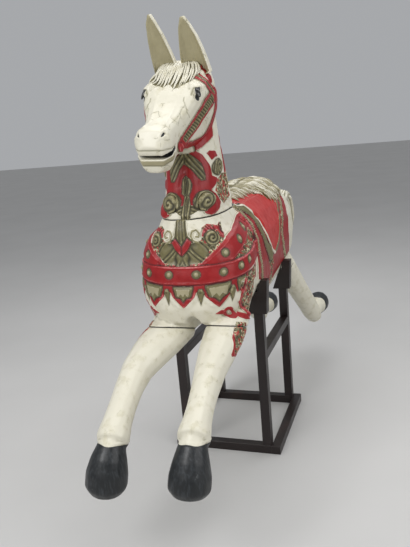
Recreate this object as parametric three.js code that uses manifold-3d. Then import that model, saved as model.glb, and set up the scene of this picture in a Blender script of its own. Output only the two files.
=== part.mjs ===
// A carved and painted wooden carousel horse in full gallop, resting in its dark wooden stand.
// Millimetres, +Z up. The horse faces -Y, its left side is +X.
// The working frame has x = 0 on the middle plane, y = 0 on the front face of the stand's posts
// and z = 0 on the floor. At the end everything moves so that the origin is at the middle of the
// footprint, on the floor.
import * as THREE from "three";
import { mergeVertices } from "three/addons/utils/BufferGeometryUtils.js";
import Module from "manifold-3d";

const wasm = await Module();
wasm.setup();

// ---- Driving dimensions: the stand ----
const STAND_WIDTH = 450;
const STAND_DEPTH = 500;
const BAR = 36;
const RAIL_TOP = 439;
const CRADLE_HEIGHT = 132;
const CRADLE_THICKNESS = 42;
const CRADLE_FRONT_FOOT = 601;
const CRADLE_REAR_FOOT = 572;
const CRADLE_OUTER = 205;
const CRADLE_INNER_FOOT = 128;
const CRADLE_INNER_TOP = 174;
const BAR_EASE = 1.5;
const GAP = 0.3;

// ---- Driving dimensions: the horse ----
const SEAM_HEIGHT = 1020;
const HEAD_SLOPE = THREE.MathUtils.degToRad(25);
const HEAD_TILT = THREE.MathUtils.degToRad(4);
const HEAD_ROOT = new THREE.Vector3(-12, -40, 1440);
const MOUTH_LINE = -16;
const MOUTH_OPENING = 12;
const EYE_PLACE = [192, 56];
const EYE_RADIUS = 16;
const EYE_RISE = 6;
const BROW_PLACE = [172, 44];
const BROW_RADIUS = 24;
const BROW_RISE = 10;
const NOSTRIL_RADIUS = 9;
const EAR_DEPTH = 0.55;
const EAR_HOLLOW = 0.86;
const EAR_HOLLOW_FORWARD = 14;

// ---- Driving dimensions: how far the carving stands out ----
const BAND_RISE = 7;
const SCALLOP_RISE = 4;
const STRAP_RISE = 6;
const STRAP_WIDTH = 60;
const STRAP_LINE = [[866, 28], [900, 47], [930, 70], [958, 104]];
const STRIP_EDGE_SHARE = 0.7;
const BAND_EDGE_SHARE = 0.75;
const BAND_REACH = 105;
const HEM_REACH = 76;
const SCALLOPS = 5;
const SCALLOP_DEPTH = 72;
const SCALLOP_ROOT = 16;
const SCALLOP_POINT = 0.7;
const ROSETTE_PLACE = [966, 36];
const EDGE_SHARE = 0.5;

// ---- Driving dimensions: where the carving lies, in stations (mm) and degrees round a skin ----
const BLANKET_FRONT = -20;
const BLANKET_LENGTH = 600;
const BLANKET_REACH = 109;
const FLEECE_FRONT = 150;
const FLEECE_LENGTH = 510;
const FLEECE_NARROW = 17;
const FLEECE_FLARE = 26;
const FLAP_TOP = 30;
const FLAP_FOOT = 86;
const FLAP_FRONT = 70;
const FLAP_FRONT_BOW = 90;
const FLAP_REAR = 500;
const FLAP_REAR_LEAN = 110;
const ROLL_WIDTH = 30;
const ROLL_LINE = [[58, 23], [87, 37], [146, 52], [148, 70], [169, 87], [204, 100]];
const LEAF_FOOT = 1030;
const LEAF_LENGTH = 190;
const LEAF_MIDDLE = 10;
const LEAF_REACH = 15;
const VOLUTE_HEIGHT = 1058;
const VOLUTE_ANGLES = [-30, 52];
const MANE_FOOT = 1060;
const MANE_LENGTH = 400;
const MANE_REACH = 32;
const BROW_STRAP_WIDTH = 20;
const BROW_STRAP = [[62, -94], [78, -40], [80, 0], [78, 40], [50, 92]];
const CHEEK_STRAP_WIDTH = 30;
const CHEEK_STRAP = [[40, 90], [120, 95], [225, 104], [335, 124]];
const FORELOCK_TOP = 20;
const FORELOCK_LENGTH = 150;
const FORELOCK_SIDE_LENGTH = 100;
const FORELOCK_REACH = 36;
const FORELOCK_TIP_RISE = 2;
const BLANKET_RISE = 6;
const FLAP_RISE = 13;
const ROLL_RISE = 15;
const FLEECE_RISE = 15;
const BRIDLE_RISE = 4;
const FORELOCK_RISE = 12;
const MANE_RISE = 10;
const LEAF_RISE = 6;
const VOLUTE_RADIUS = 38;
const VOLUTE_RISE = 12;
const ROSETTE_RADIUS = 17;
const ROSETTE_RISE = 7;
const SINK = 6;

// ---- How finely the skins are divided ----
const BARREL_STEPS = 16;
const COLUMN_STEPS = 17;
const TRUNK_SIDES = 20;
const HEAD_STEPS = 15;
const HEAD_SIDES = 17;
const LEG_STEPS = 12;
const LEG_SIDES = 12;
const EAR_STEPS = 5;
const EAR_SIDES = 10;
const HOLLOW_SIDES = 8;
const TAIL_STEPS = 11;
const TAIL_SIDES = 14;
const TAIL_FLUTE = 0.07;
const SLIVER = 2;

// The barrel of the body, from the breast back to the rump.
const BARREL = [
  { at: -215, half: 110, wide: 830, top: 960, foot: 705, shift: 0 },
  { at: -190, half: 150, wide: 830, top: 1000, foot: 668, shift: 0 },
  { at: -120, half: 183, wide: 815, top: 1022, foot: 640, shift: 0 },
  { at: 0, half: 188, wide: 800, top: 1032, foot: 600, shift: 0 },
  { at: 150, half: 186, wide: 800, top: 1036, foot: 562, shift: 0 },
  { at: 300, half: 183, wide: 800, top: 1037, foot: 546, shift: 0 },
  { at: 450, half: 184, wide: 800, top: 1046, foot: 552, shift: 2 },
  { at: 600, half: 187, wide: 805, top: 1056, foot: 578, shift: 6 },
  { at: 700, half: 178, wide: 815, top: 1046, foot: 612, shift: 12 },
  { at: 790, half: 152, wide: 830, top: 1010, foot: 665, shift: 18 },
  { at: 860, half: 105, wide: 840, top: 955, foot: 735, shift: 24 },
  { at: 885, half: 60, wide: 845, top: 905, foot: 790, shift: 26 },
];

// The breast and the neck, from between the forelegs up to the poll.
const COLUMN = [
  { at: 612, half: 80, wide: -170, front: -225, back: -60, shift: 0 },
  { at: 640, half: 140, wide: -160, front: -290, back: 20, shift: 0 },
  { at: 680, half: 178, wide: -150, front: -328, back: 60, shift: 0 },
  { at: 730, half: 192, wide: -150, front: -338, back: 90, shift: 0 },
  { at: 800, half: 196, wide: -150, front: -328, back: 110, shift: 0 },
  { at: 860, half: 194, wide: -140, front: -318, back: 130, shift: 0 },
  { at: 910, half: 184, wide: -130, front: -312, back: 150, shift: 0 },
  { at: 955, half: 156, wide: -120, front: -306, back: 160, shift: 0 },
  { at: 990, half: 124, wide: -115, front: -303, back: 165, shift: 0 },
  { at: 1020, half: 105, wide: -110, front: -296, back: 160, shift: 0 },
  { at: 1060, half: 98, wide: -110, front: -270, back: 140, shift: 0 },
  { at: 1120, half: 97, wide: -105, front: -232, back: 105, shift: -2 },
  { at: 1180, half: 95, wide: -100, front: -208, back: 80, shift: -3 },
  { at: 1250, half: 88, wide: -90, front: -190, back: 58, shift: -3 },
  { at: 1330, half: 84, wide: -80, front: -170, back: 42, shift: -5 },
  { at: 1410, half: 76, wide: -70, front: -140, back: 30, shift: -7 },
  { at: 1470, half: 64, wide: -60, front: -115, back: 15, shift: -8 },
  { at: 1515, half: 42, wide: -60, front: -100, back: -10, shift: -8 },
];

// The head, along its own axis from inside the neck to the lips: crown and jaw are heights off the axis.
const HEAD = [
  { at: -40, half: 68, wide: 10, top: 60, foot: -60, shift: 0 },
  { at: -10, half: 90, wide: 20, top: 98, foot: -105, shift: 0 },
  { at: 40, half: 106, wide: 30, top: 114, foot: -128, shift: 0 },
  { at: 100, half: 110, wide: 36, top: 112, foot: -134, shift: 0 },
  { at: 160, half: 106, wide: 48, top: 104, foot: -126, shift: 0 },
  { at: 205, half: 98, wide: 50, top: 96, foot: -112, shift: 0 },
  { at: 245, half: 80, wide: 30, top: 76, foot: -98, shift: 0 },
  { at: 300, half: 62, wide: 10, top: 60, foot: -84, shift: 0 },
  { at: 350, half: 54, wide: 5, top: 56, foot: -80, shift: 0 },
  { at: 395, half: 59, wide: 10, top: 62, foot: -84, shift: 0 },
  { at: 425, half: 60, wide: 5, top: 56, foot: -84, shift: 0 },
  { at: 443, half: 53, wide: 0, top: 38, foot: -79, shift: 0 },
  { at: 451, half: 39, wide: -5, top: 20, foot: -68, shift: 0 },
];

// ---- Small helpers ----
const colours = {
  ivory: [0xdedac6, 0.5],
  stand: [0x241c18, 0.4],
};

function closedGeometry(points, triangles) {
  const geometry = new THREE.BufferGeometry();
  geometry.setAttribute("position", new THREE.Float32BufferAttribute(points.flatMap((p) => p.toArray()), 3));
  geometry.setIndex(triangles.flat());
  return geometry;
}

function solidOf(geometry) {
  const bare = geometry.clone();
  bare.deleteAttribute("normal");
  bare.deleteAttribute("uv");
  const merged = mergeVertices(bare, 1e-3);
  const mesh = new wasm.Mesh({
    numProp: 3,
    vertProperties: new Float32Array(merged.attributes.position.array),
    triVerts: new Uint32Array(merged.index.array),
  });
  return new wasm.Manifold(mesh);
}

function geometryOf(solid) {
  const mesh = solid.getMesh();
  const geometry = new THREE.BufferGeometry();
  geometry.setAttribute("position", new THREE.BufferAttribute(new Float32Array(mesh.vertProperties), 3));
  geometry.setIndex(new THREE.BufferAttribute(new Uint32Array(mesh.triVerts), 1));
  return geometry;
}

// A closed skin over rings of equally many points, with a fan at each end.
function loft(rings) {
  const count = rings[0].length;
  const points = rings.flat();
  const triangles = [];
  for (let r = 0; r + 1 < rings.length; r++) {
    for (let i = 0; i < count; i++) {
      const a = r * count + i;
      const b = r * count + ((i + 1) % count);
      triangles.push([a, b, b + count], [a, b + count, a + count]);
    }
  }
  const centre = (ring) => ring.reduce((s, p) => s.add(p), new THREE.Vector3()).divideScalar(count);
  const first = points.push(centre(rings[0])) - 1;
  const last = points.push(centre(rings[rings.length - 1])) - 1;
  const base = (rings.length - 1) * count;
  for (let i = 0; i < count; i++) {
    const j = (i + 1) % count;
    triangles.push([first, j, i], [last, base + i, base + j]);
  }
  return facingOut(points, triangles);
}

// Turns the faces round where the closed skin would have a negative volume.
function facingOut(points, triangles) {
  let volume = 0;
  for (const [a, b, c] of triangles) {
    volume += points[a].dot(points[b].clone().cross(points[c]));
  }
  const turned = volume < 0 ? triangles.map(([a, b, c]) => [a, c, b]) : triangles;
  return closedGeometry(points, turned);
}

// A smooth value between stations: a cubic through them with slopes from their neighbours.
function between(stations, key, at) {
  const last = stations.length - 1;
  let i = 0;
  while (i < last - 1 && at > stations[i + 1].at) i++;
  const slope = (k) => {
    const p = stations[Math.max(k - 1, 0)];
    const n = stations[Math.min(k + 1, last)];
    return (n[key] - p[key]) / (n.at - p.at);
  };
  const p = stations[i];
  const n = stations[i + 1];
  const span = n.at - p.at;
  const t = Math.min(Math.max((at - p.at) / span, 0), 1);
  const t2 = t * t;
  const t3 = t2 * t;
  const start = (2 * t3 - 3 * t2 + 1) * p[key] + (t3 - 2 * t2 + t) * span * slope(i);
  return start + (3 * t2 - 2 * t3) * n[key] + (t3 - t2) * span * slope(i + 1);
}

const signedPower = (value, power) => Math.sign(value) * Math.abs(value) ** power;

// ---- Skins: a surface given by a station and an angle round it ----
const ROUND = 2 / 2.3;
const HEAD_ROUND = 2 / 2.9;

function barrelSkin(at, angle) {
  const value = (key) => between(BARREL, key, at);
  const up = Math.cos(angle);
  const reach = up >= 0 ? value("top") - value("wide") : value("wide") - value("foot");
  return new THREE.Vector3(
    value("shift") + value("half") * signedPower(Math.sin(angle), ROUND),
    at,
    value("wide") + reach * signedPower(up, ROUND),
  );
}

function columnSkin(at, angle) {
  const value = (key) => between(COLUMN, key, at);
  const ahead = Math.cos(angle);
  const reach = ahead >= 0 ? value("wide") - value("front") : value("back") - value("wide");
  return new THREE.Vector3(
    value("shift") + value("half") * signedPower(Math.sin(angle), ROUND),
    value("wide") - reach * signedPower(ahead, ROUND),
    at,
  );
}

function headPoint(along, side, up) {
  const tiltedSide = side * Math.cos(HEAD_TILT) + up * Math.sin(HEAD_TILT);
  const tiltedUp = -side * Math.sin(HEAD_TILT) + up * Math.cos(HEAD_TILT);
  return new THREE.Vector3(
    HEAD_ROOT.x + tiltedSide,
    HEAD_ROOT.y - along * Math.cos(HEAD_SLOPE) - tiltedUp * Math.sin(HEAD_SLOPE),
    HEAD_ROOT.z - along * Math.sin(HEAD_SLOPE) + tiltedUp * Math.cos(HEAD_SLOPE),
  );
}

function headSkin(at, angle) {
  const value = (key) => between(HEAD, key, at);
  const up = Math.cos(angle);
  const reach = up >= 0 ? value("top") - value("wide") : value("wide") - value("foot");
  return headPoint(
    at,
    value("half") * signedPower(Math.sin(angle), HEAD_ROUND),
    value("wide") + reach * signedPower(up, HEAD_ROUND),
  );
}

// The unit vector out of a skin, found from its two neighbours and the point across the section.
function skinNormal(skin, at, angle) {
  const step = 1e-2;
  const alongStation = skin(at + 1, angle).sub(skin(at - 1, angle));
  const alongAngle = skin(at, angle + step).sub(skin(at, angle - step));
  const normal = alongAngle.cross(alongStation).normalize();
  const outward = skin(at, angle).sub(skin(at, angle + Math.PI));
  return normal.dot(outward) < 0 ? normal.negate() : normal;
}

// The closed solid of a skin over evenly spaced stations, all of it moved out by `grow`.
function skinSolid(skin, stations, steps, sides, grow = 0) {
  const rings = spread(stations, steps).map((at) =>
    Array.from({ length: sides }, (_, i) => {
      const angle = (2 * Math.PI * i) / sides;
      return skin(at, angle).addScaledVector(skinNormal(skin, at, angle), grow);
    }),
  );
  return solidOf(loft(rings));
}

function spread(stations, count) {
  const first = stations[0].at;
  const last = stations[stations.length - 1].at;
  return Array.from({ length: count + 1 }, (_, i) => first + ((last - first) * i) / count);
}

// ---- Relief: a closed pad that stands on a skin and is sunk a little into it ----
// place(u, v) gives the station and the angle in degrees, rise(u, v) the height, for u and v from 0 to 1.
function pad(skin, place, acrossSteps, alongSteps, rise) {
  const points = [];
  const columns = acrossSteps + 1;
  const rows = alongSteps + 1;
  for (const outside of [true, false]) {
    for (let j = 0; j < rows; j++) {
      for (let i = 0; i < columns; i++) {
        const u = i / acrossSteps;
        const v = j / alongSteps;
        const [at, degrees] = place(u, v);
        const angle = THREE.MathUtils.degToRad(degrees);
        const height = outside ? rise(u, v) : -SINK;
        points.push(skin(at, angle).addScaledVector(skinNormal(skin, at, angle), height));
      }
    }
  }
  return solidOf(facingOut(points, gridBox(columns, rows)));
}

// The triangles of a closed box whose top and bottom are grids of columns x rows points.
function gridBox(columns, rows) {
  const triangles = [];
  const layer = columns * rows;
  const quad = (a, b, c, d) => triangles.push([a, b, c], [a, c, d]);
  const at = (i, j) => j * columns + i;
  for (let j = 0; j + 1 < rows; j++) {
    for (let i = 0; i + 1 < columns; i++) {
      quad(at(i, j), at(i + 1, j), at(i + 1, j + 1), at(i, j + 1));
      quad(layer + at(i, j), layer + at(i, j + 1), layer + at(i + 1, j + 1), layer + at(i + 1, j));
    }
  }
  for (let i = 0; i + 1 < columns; i++) {
    quad(at(i, 0), layer + at(i, 0), layer + at(i + 1, 0), at(i + 1, 0));
    quad(at(i + 1, rows - 1), layer + at(i + 1, rows - 1), layer + at(i, rows - 1), at(i, rows - 1));
  }
  for (let j = 0; j + 1 < rows; j++) {
    quad(at(0, j + 1), layer + at(0, j + 1), layer + at(0, j), at(0, j));
    const last = columns - 1;
    quad(at(last, j), layer + at(last, j), layer + at(last, j + 1), at(last, j + 1));
  }
  return triangles;
}

// A strip of even width along a line of [station, degrees] points, both in the skin's own terms.
function strip(skin, line, width, steps, rise) {
  const spaced = line.map(([at, degrees], i) => ({ at: i, station: at, degrees }));
  const centre = (v) => {
    const t = v * (line.length - 1);
    return [between(spaced, "station", t), between(spaced, "degrees", t)];
  };
  const onSkin = ([at, degrees]) => skin(at, THREE.MathUtils.degToRad(degrees));
  const place = (u, v) => {
    const [at, degrees] = centre(v);
    const step = 0.01;
    const ahead = onSkin(centre(Math.min(v + step, 1))).sub(onSkin(centre(Math.max(v - step, 0)))).normalize();
    const middle = onSkin([at, degrees]);
    const perStation = onSkin([at + 1, degrees]).sub(middle);
    const perDegree = onSkin([at, degrees + 1]).sub(middle);
    const side = perStation.clone().cross(perDegree).normalize().cross(ahead).normalize();
    const reach = (u - 0.5) * width;
    return [
      at + (reach * side.dot(perStation)) / perStation.lengthSq(),
      degrees + (reach * side.dot(perDegree)) / perDegree.lengthSq(),
    ];
  };
  return pad(skin, place, 2, steps, (u) => rise * (u === 0.5 ? 1 : STRIP_EDGE_SHARE));
}

// A low dome on a skin, round a station and an angle in degrees.
function dome(skin, at, degrees, radius, rise, sides = 10) {
  const angle = THREE.MathUtils.degToRad(degrees);
  const centre = skin(at, angle);
  const normal = skinNormal(skin, at, angle);
  const profile = [
    new THREE.Vector2(0, -SINK),
    new THREE.Vector2(radius, -SINK),
    new THREE.Vector2(radius, rise * 0.45),
    new THREE.Vector2(radius * 0.6, rise * 0.9),
    new THREE.Vector2(0, rise),
  ];
  const turned = new THREE.LatheGeometry(profile, sides);
  const toNormal = new THREE.Quaternion().setFromUnitVectors(new THREE.Vector3(0, 1, 0), normal);
  turned.applyQuaternion(toNormal);
  turned.translate(centre.x, centre.y, centre.z);
  return solidOf(turned);
}

// What is left of a solid beside its neighbour, with the usual gap in each of the given directions.
function clearOf(solid, neighbour, directions) {
  const away = directions.map((direction) => direction.map((value) => value * GAP));
  return [[0, 0, 0], ...away].reduce((rest, move) => rest.subtract(neighbour.translate(move)), solid);
}

const joined = (solids) => solids.reduce((sum, solid) => sum.add(solid));
const sides = [-1, 1];

// ---- Legs, ears and tail: tubes along a curve with two radii ----
function tube(stations, steps, count, flute = () => 1) {
  const path = new THREE.CatmullRomCurve3(stations.map((s) => new THREE.Vector3(...s.p)), false, "centripetal");
  const spaced = stations.map((s, i) => ({ ...s, at: i }));
  const rings = [];
  for (let k = 0; k <= steps; k++) {
    const u = k / steps;
    const at = u * (stations.length - 1);
    const centre = path.getPoint(u);
    const ahead = path.getTangent(u);
    const side = new THREE.Vector3(1, 0, 0).addScaledVector(ahead, -ahead.x).normalize();
    const up = new THREE.Vector3().crossVectors(side, ahead);
    const ring = [];
    for (let i = 0; i < count; i++) {
      const angle = (2 * Math.PI * i) / count;
      const f = flute(angle, u);
      ring.push(
        centre
          .clone()
          .addScaledVector(side, f * between(spaced, "w", at) * Math.sin(angle))
          .addScaledVector(up, f * between(spaced, "d", at) * Math.cos(angle)),
      );
    }
    rings.push(ring);
  }
  return solidOf(loft(rings));
}

const FORELEG_RIGHT = [
  { p: [-80, -130, 735], w: 76, d: 62 },
  { p: [-82, -190, 670], w: 84, d: 64 },
  { p: [-84, -240, 622], w: 85, d: 64 },
  { p: [-110, -350, 590], w: 74, d: 60 },
  { p: [-141, -450, 543], w: 55, d: 54 },
  { p: [-140, -550, 496], w: 46, d: 45 },
  { p: [-138, -630, 446], w: 47, d: 46 },
  { p: [-135, -670, 420], w: 53, d: 50 },
  { p: [-134, -686, 409], w: 50, d: 47 },
];

const FOREHOOF_RIGHT = [
  { p: [-134, -670, 425], w: 38, d: 38 },
  { p: [-134, -690, 400], w: 42, d: 42 },
  { p: [-139, -706, 365], w: 55, d: 54 },
  { p: [-145, -718, 325], w: 64, d: 62 },
  { p: [-149, -726, 286], w: 64, d: 62 },
  { p: [-151, -728, 262], w: 46, d: 44 },
];

const FORELEG_LEFT = [
  { p: [104, -130, 735], w: 72, d: 60 },
  { p: [114, -190, 675], w: 76, d: 64 },
  { p: [121, -235, 638], w: 74, d: 64 },
  { p: [117, -340, 592], w: 68, d: 58 },
  { p: [111, -430, 544], w: 53, d: 52 },
  { p: [118, -550, 492], w: 44, d: 44 },
  { p: [125, -625, 462], w: 46, d: 45 },
  { p: [129, -664, 446], w: 52, d: 50 },
  { p: [130, -680, 438], w: 50, d: 47 },
];

const FOREHOOF_LEFT = [
  { p: [130, -664, 452], w: 37, d: 37 },
  { p: [130, -684, 424], w: 42, d: 42 },
  { p: [129, -706, 386], w: 54, d: 53 },
  { p: [126, -718, 346], w: 63, d: 61 },
  { p: [123, -726, 310], w: 64, d: 62 },
  { p: [122, -730, 290], w: 48, d: 46 },
];

const HINDLEG_LEFT = [
  { p: [95, 590, 760], w: 70, d: 75 },
  { p: [130, 590, 690], w: 62, d: 64 },
  { p: [152, 605, 655], w: 55, d: 57 },
  { p: [190, 720, 510], w: 50, d: 52 },
  { p: [218, 800, 410], w: 48, d: 50 },
  { p: [235, 862, 335], w: 47, d: 46 },
  { p: [238, 905, 300], w: 42, d: 38 },
  { p: [236, 960, 300], w: 33, d: 34 },
  { p: [235, 1020, 306], w: 33, d: 35 },
  { p: [235, 1050, 309], w: 44, d: 46 },
  { p: [235, 1062, 310], w: 50, d: 52 },
  { p: [235, 1110, 312], w: 57, d: 60 },
  { p: [235, 1148, 313], w: 46, d: 48 },
];

const HINDLEG_RIGHT = HINDLEG_LEFT.map(({ p, w, d }, i) => {
  const outward = [-95, -118, -122, -96, -76, -62, -56, -55, -55, -55, -55, -55, -55];
  return { p: [outward[i], p[1], p[2]], w, d };
});

const LEG_HOLLOW = [
  { p: [18, -400, 672], w: 31, d: 44 },
  { p: [23, -290, 641], w: 31, d: 44 },
  { p: [28, -120, 590], w: 31, d: 44 },
  { p: [32, 60, 536], w: 31, d: 44 },
];

const EAR_RIGHT = [
  { p: [-54, -134, 1496], w: 46 },
  { p: [-57, -144, 1532], w: 44 },
  { p: [-63, -155, 1568], w: 40 },
  { p: [-70, -169, 1615], w: 32 },
  { p: [-77, -183, 1662], w: 20 },
  { p: [-77, -191, 1688], w: 8 },
];

const EAR_LEFT = [
  { p: [55, -130, 1486], w: 52 },
  { p: [50, -141, 1522], w: 50 },
  { p: [46, -153, 1563], w: 44 },
  { p: [42, -164, 1600], w: 36 },
  { p: [36, -175, 1638], w: 24 },
  { p: [33, -184, 1668], w: 9 },
];

const TAIL = [
  { p: [40, 800, 880], w: 42, d: 40 },
  { p: [64, 850, 930], w: 50, d: 36 },
  { p: [82, 900, 948], w: 54, d: 34 },
  { p: [90, 950, 925], w: 56, d: 34 },
  { p: [90, 985, 865], w: 56, d: 36 },
  { p: [84, 1000, 790], w: 54, d: 38 },
  { p: [72, 1010, 720], w: 46, d: 34 },
  { p: [62, 1020, 650], w: 34, d: 26 },
  { p: [56, 1035, 600], w: 14, d: 12 },
];

// ---- The stand ----
function easedBar(width, depth, height) {
  const half = width / 2 - BAR_EASE;
  const outline = new THREE.Shape([
    new THREE.Vector2(-half, BAR_EASE),
    new THREE.Vector2(half, BAR_EASE),
    new THREE.Vector2(half, depth - BAR_EASE),
    new THREE.Vector2(-half, depth - BAR_EASE),
  ]);
  const bar = new THREE.ExtrudeGeometry(outline, {
    depth: height - 2 * BAR_EASE,
    bevelThickness: BAR_EASE,
    bevelSize: BAR_EASE,
    bevelSegments: 1,
  });
  return bar.translate(0, 0, BAR_EASE);
}

function barAt(name, x, y, z, width, depth, height) {
  addPiece(name, solidOf(easedBar(width, depth, height).translate(x, y, z)), "stand");
}

function buildStand() {
  const sideMiddle = STAND_WIDTH / 2 - BAR / 2;
  const postMiddle = sideMiddle - BAR;
  const crossLength = STAND_WIDTH - 2 * BAR - 2 * GAP;
  const rearFace = STAND_DEPTH - BAR;
  barAt("base_cross_front", 0, 0, 0, crossLength, BAR, BAR);
  barAt("base_cross_rear", 0, rearFace, 0, crossLength, BAR, BAR);
  for (const side of sides) {
    const hand = side < 0 ? "right" : "left";
    barAt(`base_side_${hand}`, side * sideMiddle, 0, 0, BAR, STAND_DEPTH, BAR);
    const foot = BAR + GAP;
    barAt(`post_front_${hand}`, side * postMiddle, 0, foot, BAR, BAR, CRADLE_FRONT_FOOT - foot - GAP);
    barAt(`post_rear_${hand}`, side * postMiddle, rearFace, foot, BAR, BAR, CRADLE_REAR_FOOT - foot - GAP);
    barAt(`rail_${hand}`, side * postMiddle, BAR + GAP, RAIL_TOP - BAR, BAR, rearFace - BAR - 2 * GAP, BAR);
  }
}

// One cradle block: upright outside, a narrow top, and an inner face that steps in and slopes out below.
function cradleBlock(side, foot, middleY, body) {
  const top = foot + CRADLE_HEIGHT;
  const shoulder = top - CRADLE_HEIGHT / 3;
  const outline = new THREE.Shape(
    [
      [CRADLE_INNER_FOOT, foot],
      [CRADLE_OUTER, foot],
      [CRADLE_OUTER + 8, top],
      [CRADLE_INNER_TOP, top],
      [CRADLE_INNER_TOP, shoulder],
      [CRADLE_INNER_TOP - 14, shoulder],
    ].map(([x, z]) => new THREE.Vector2(side * x, z)),
  );
  const block = new THREE.ExtrudeGeometry(outline, { depth: CRADLE_THICKNESS, bevelEnabled: false });
  block.rotateX(Math.PI / 2);
  block.translate(0, middleY + CRADLE_THICKNESS / 2, 0);
  return clearOf(solidOf(block), body, [[2 * side, 0, 0], [0, 0, -2], [side, 1, 0], [side, -1, 0]]);
}

function buildCradles(body) {
  for (const side of sides) {
    const hand = side < 0 ? "right" : "left";
    const front = cradleBlock(side, CRADLE_FRONT_FOOT, BAR / 2, body);
    const rear = cradleBlock(side, CRADLE_REAR_FOOT, STAND_DEPTH - BAR / 2, body);
    addPiece(`cradle_front_${hand}`, front, "stand");
    addPiece(`cradle_rear_${hand}`, rear, "stand");
  }
}

// ---- The horse ----
const group = new THREE.Group();

function addPiece(name, solid, finish) {
  const [colour, roughness] = colours[finish];
  const mesh = new THREE.Mesh(
    geometryOf(solid),
    new THREE.MeshStandardMaterial({ color: colour, roughness, metalness: 0 }),
  );
  mesh.name = name;
  group.add(mesh);
}

const bandTop = (degrees) => 868 + 10 * (degrees / 77) ** 2;
const bandFoot = (degrees) => 804 + 18 * (degrees / 90) ** 2;

// The breast band with its row of pointed scallops, the two shoulder straps and the rosettes.
function breastRelief() {
  const band = pad(
    columnSkin,
    (u, v) => {
      const degrees = BAND_REACH * (2 * u - 1);
      return [bandFoot(degrees) + v * (bandTop(degrees) - bandFoot(degrees)), degrees];
    },
    16,
    2,
    (u, v) => (v === 0.5 ? BAND_RISE : BAND_RISE * BAND_EDGE_SHARE),
  );
  const hem = pad(
    columnSkin,
    (u, v) => {
      const degrees = HEM_REACH * (2 * u - 1);
      const share = Math.abs(Math.sin(Math.PI * SCALLOPS * u));
      return [bandFoot(degrees) + 6 - v * (SCALLOP_ROOT + SCALLOP_DEPTH * share ** SCALLOP_POINT), degrees];
    },
    30,
    1,
    () => SCALLOP_RISE,
  );
  const straps = sides.map((side) =>
    strip(columnSkin, STRAP_LINE.map(([at, angle]) => [at, angle * side]), STRAP_WIDTH, 6, STRAP_RISE),
  );
  const [rosetteAt, rosetteAngle] = ROSETTE_PLACE;
  const rosettes = sides.map((side) =>
    dome(columnSkin, rosetteAt, rosetteAngle * side, ROSETTE_RADIUS, ROSETTE_RISE, 8),
  );
  return joined([band, hem, ...straps, ...rosettes]);
}

// The blanket over the barrel, the saddle flaps with their rolled front edge, and the fleece seat.
function saddleRelief() {
  const blanket = pad(
    barrelSkin,
    (u, v) => [BLANKET_FRONT + BLANKET_LENGTH * v, BLANKET_REACH * (2 * u - 1)],
    12,
    8,
    () => BLANKET_RISE,
  );
  const fleece = pad(
    barrelSkin,
    (u, v) => {
      const flare = Math.min(Math.max(1.8 * v - 0.6, 0), 1);
      return [FLEECE_FRONT + FLEECE_LENGTH * v, (2 * u - 1) * (FLEECE_NARROW + FLEECE_FLARE * flare)];
    },
    4,
    7,
    (u) => (u === 0 || u === 1 ? BLANKET_RISE + 2 : FLEECE_RISE),
  );
  const flaps = sides.map((side) =>
    pad(
      barrelSkin,
      (u, v) => {
        const front = FLAP_FRONT + FLAP_FRONT_BOW * Math.sin((Math.PI / 2) * u);
        const rear = FLAP_REAR - FLAP_REAR_LEAN * u;
        const foot = FLAP_FOOT + 6 * Math.sin(Math.PI * v);
        return [front + v * (rear - front), side * (FLAP_TOP + u * (foot - FLAP_TOP))];
      },
      3,
      5,
      () => FLAP_RISE,
    ),
  );
  const rolls = sides.map((side) =>
    strip(barrelSkin, ROLL_LINE.map(([at, angle]) => [at, angle * side]), ROLL_WIDTH, 8, ROLL_RISE),
  );
  return joined([blanket, fleece, ...flaps, ...rolls]);
}

// The neck's carving: a pointed leaf at the front, a ridged volute on either side of it, and the mane.
function neckRelief() {
  const leaf = pad(
    columnSkin,
    (u, v) => [
      LEAF_FOOT + LEAF_LENGTH * v,
      LEAF_MIDDLE + (2 * u - 1) * LEAF_REACH * Math.sin(Math.PI * (0.2 + 0.8 * v)) ** 0.8,
    ],
    2,
    8,
    (u) => (u === 0.5 ? LEAF_RISE : LEAF_RISE * EDGE_SHARE),
  );
  const volutes = VOLUTE_ANGLES.map((degrees) =>
    dome(columnSkin, VOLUTE_HEIGHT, degrees, VOLUTE_RADIUS, VOLUTE_RISE, 9),
  );
  const mane = pad(
    columnSkin,
    (u, v) => [MANE_FOOT + MANE_LENGTH * v, 180 + MANE_REACH * (2 * u - 1)],
    4,
    10,
    (u) => MANE_RISE * (u === 0 || u === 1 ? EDGE_SHARE : 1),
  );
  return joined([leaf, mane, ...volutes]);
}

// The bridle, the forelock and the eyes stand out of the head.
function headRelief() {
  const brow = strip(headSkin, BROW_STRAP, BROW_STRAP_WIDTH, 8, BRIDLE_RISE);
  const cheeks = sides.map((side) =>
    strip(headSkin, CHEEK_STRAP.map(([at, angle]) => [at, angle * side]), CHEEK_STRAP_WIDTH, 6, BRIDLE_RISE),
  );
  const forelock = pad(
    headSkin,
    (u, v) => {
      const length = FORELOCK_LENGTH - (FORELOCK_LENGTH - FORELOCK_SIDE_LENGTH) * Math.abs(2 * u - 1);
      return [FORELOCK_TOP + v * length, (2 * u - 1) * FORELOCK_REACH * (1 - 0.3 * v * v)];
    },
    6,
    5,
    (u, v) => FORELOCK_TIP_RISE + FORELOCK_RISE * (1 - v) * (u === 0 || u === 1 ? EDGE_SHARE : 1),
  );
  const eyes = sides.map((side) => dome(headSkin, EYE_PLACE[0], EYE_PLACE[1] * side, EYE_RADIUS, EYE_RISE));
  const brows = sides.map((side) =>
    dome(headSkin, BROW_PLACE[0], BROW_PLACE[1] * side, BROW_RADIUS, BROW_RISE),
  );
  return joined([brow, forelock, ...cheeks, ...eyes, ...brows]);
}

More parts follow.
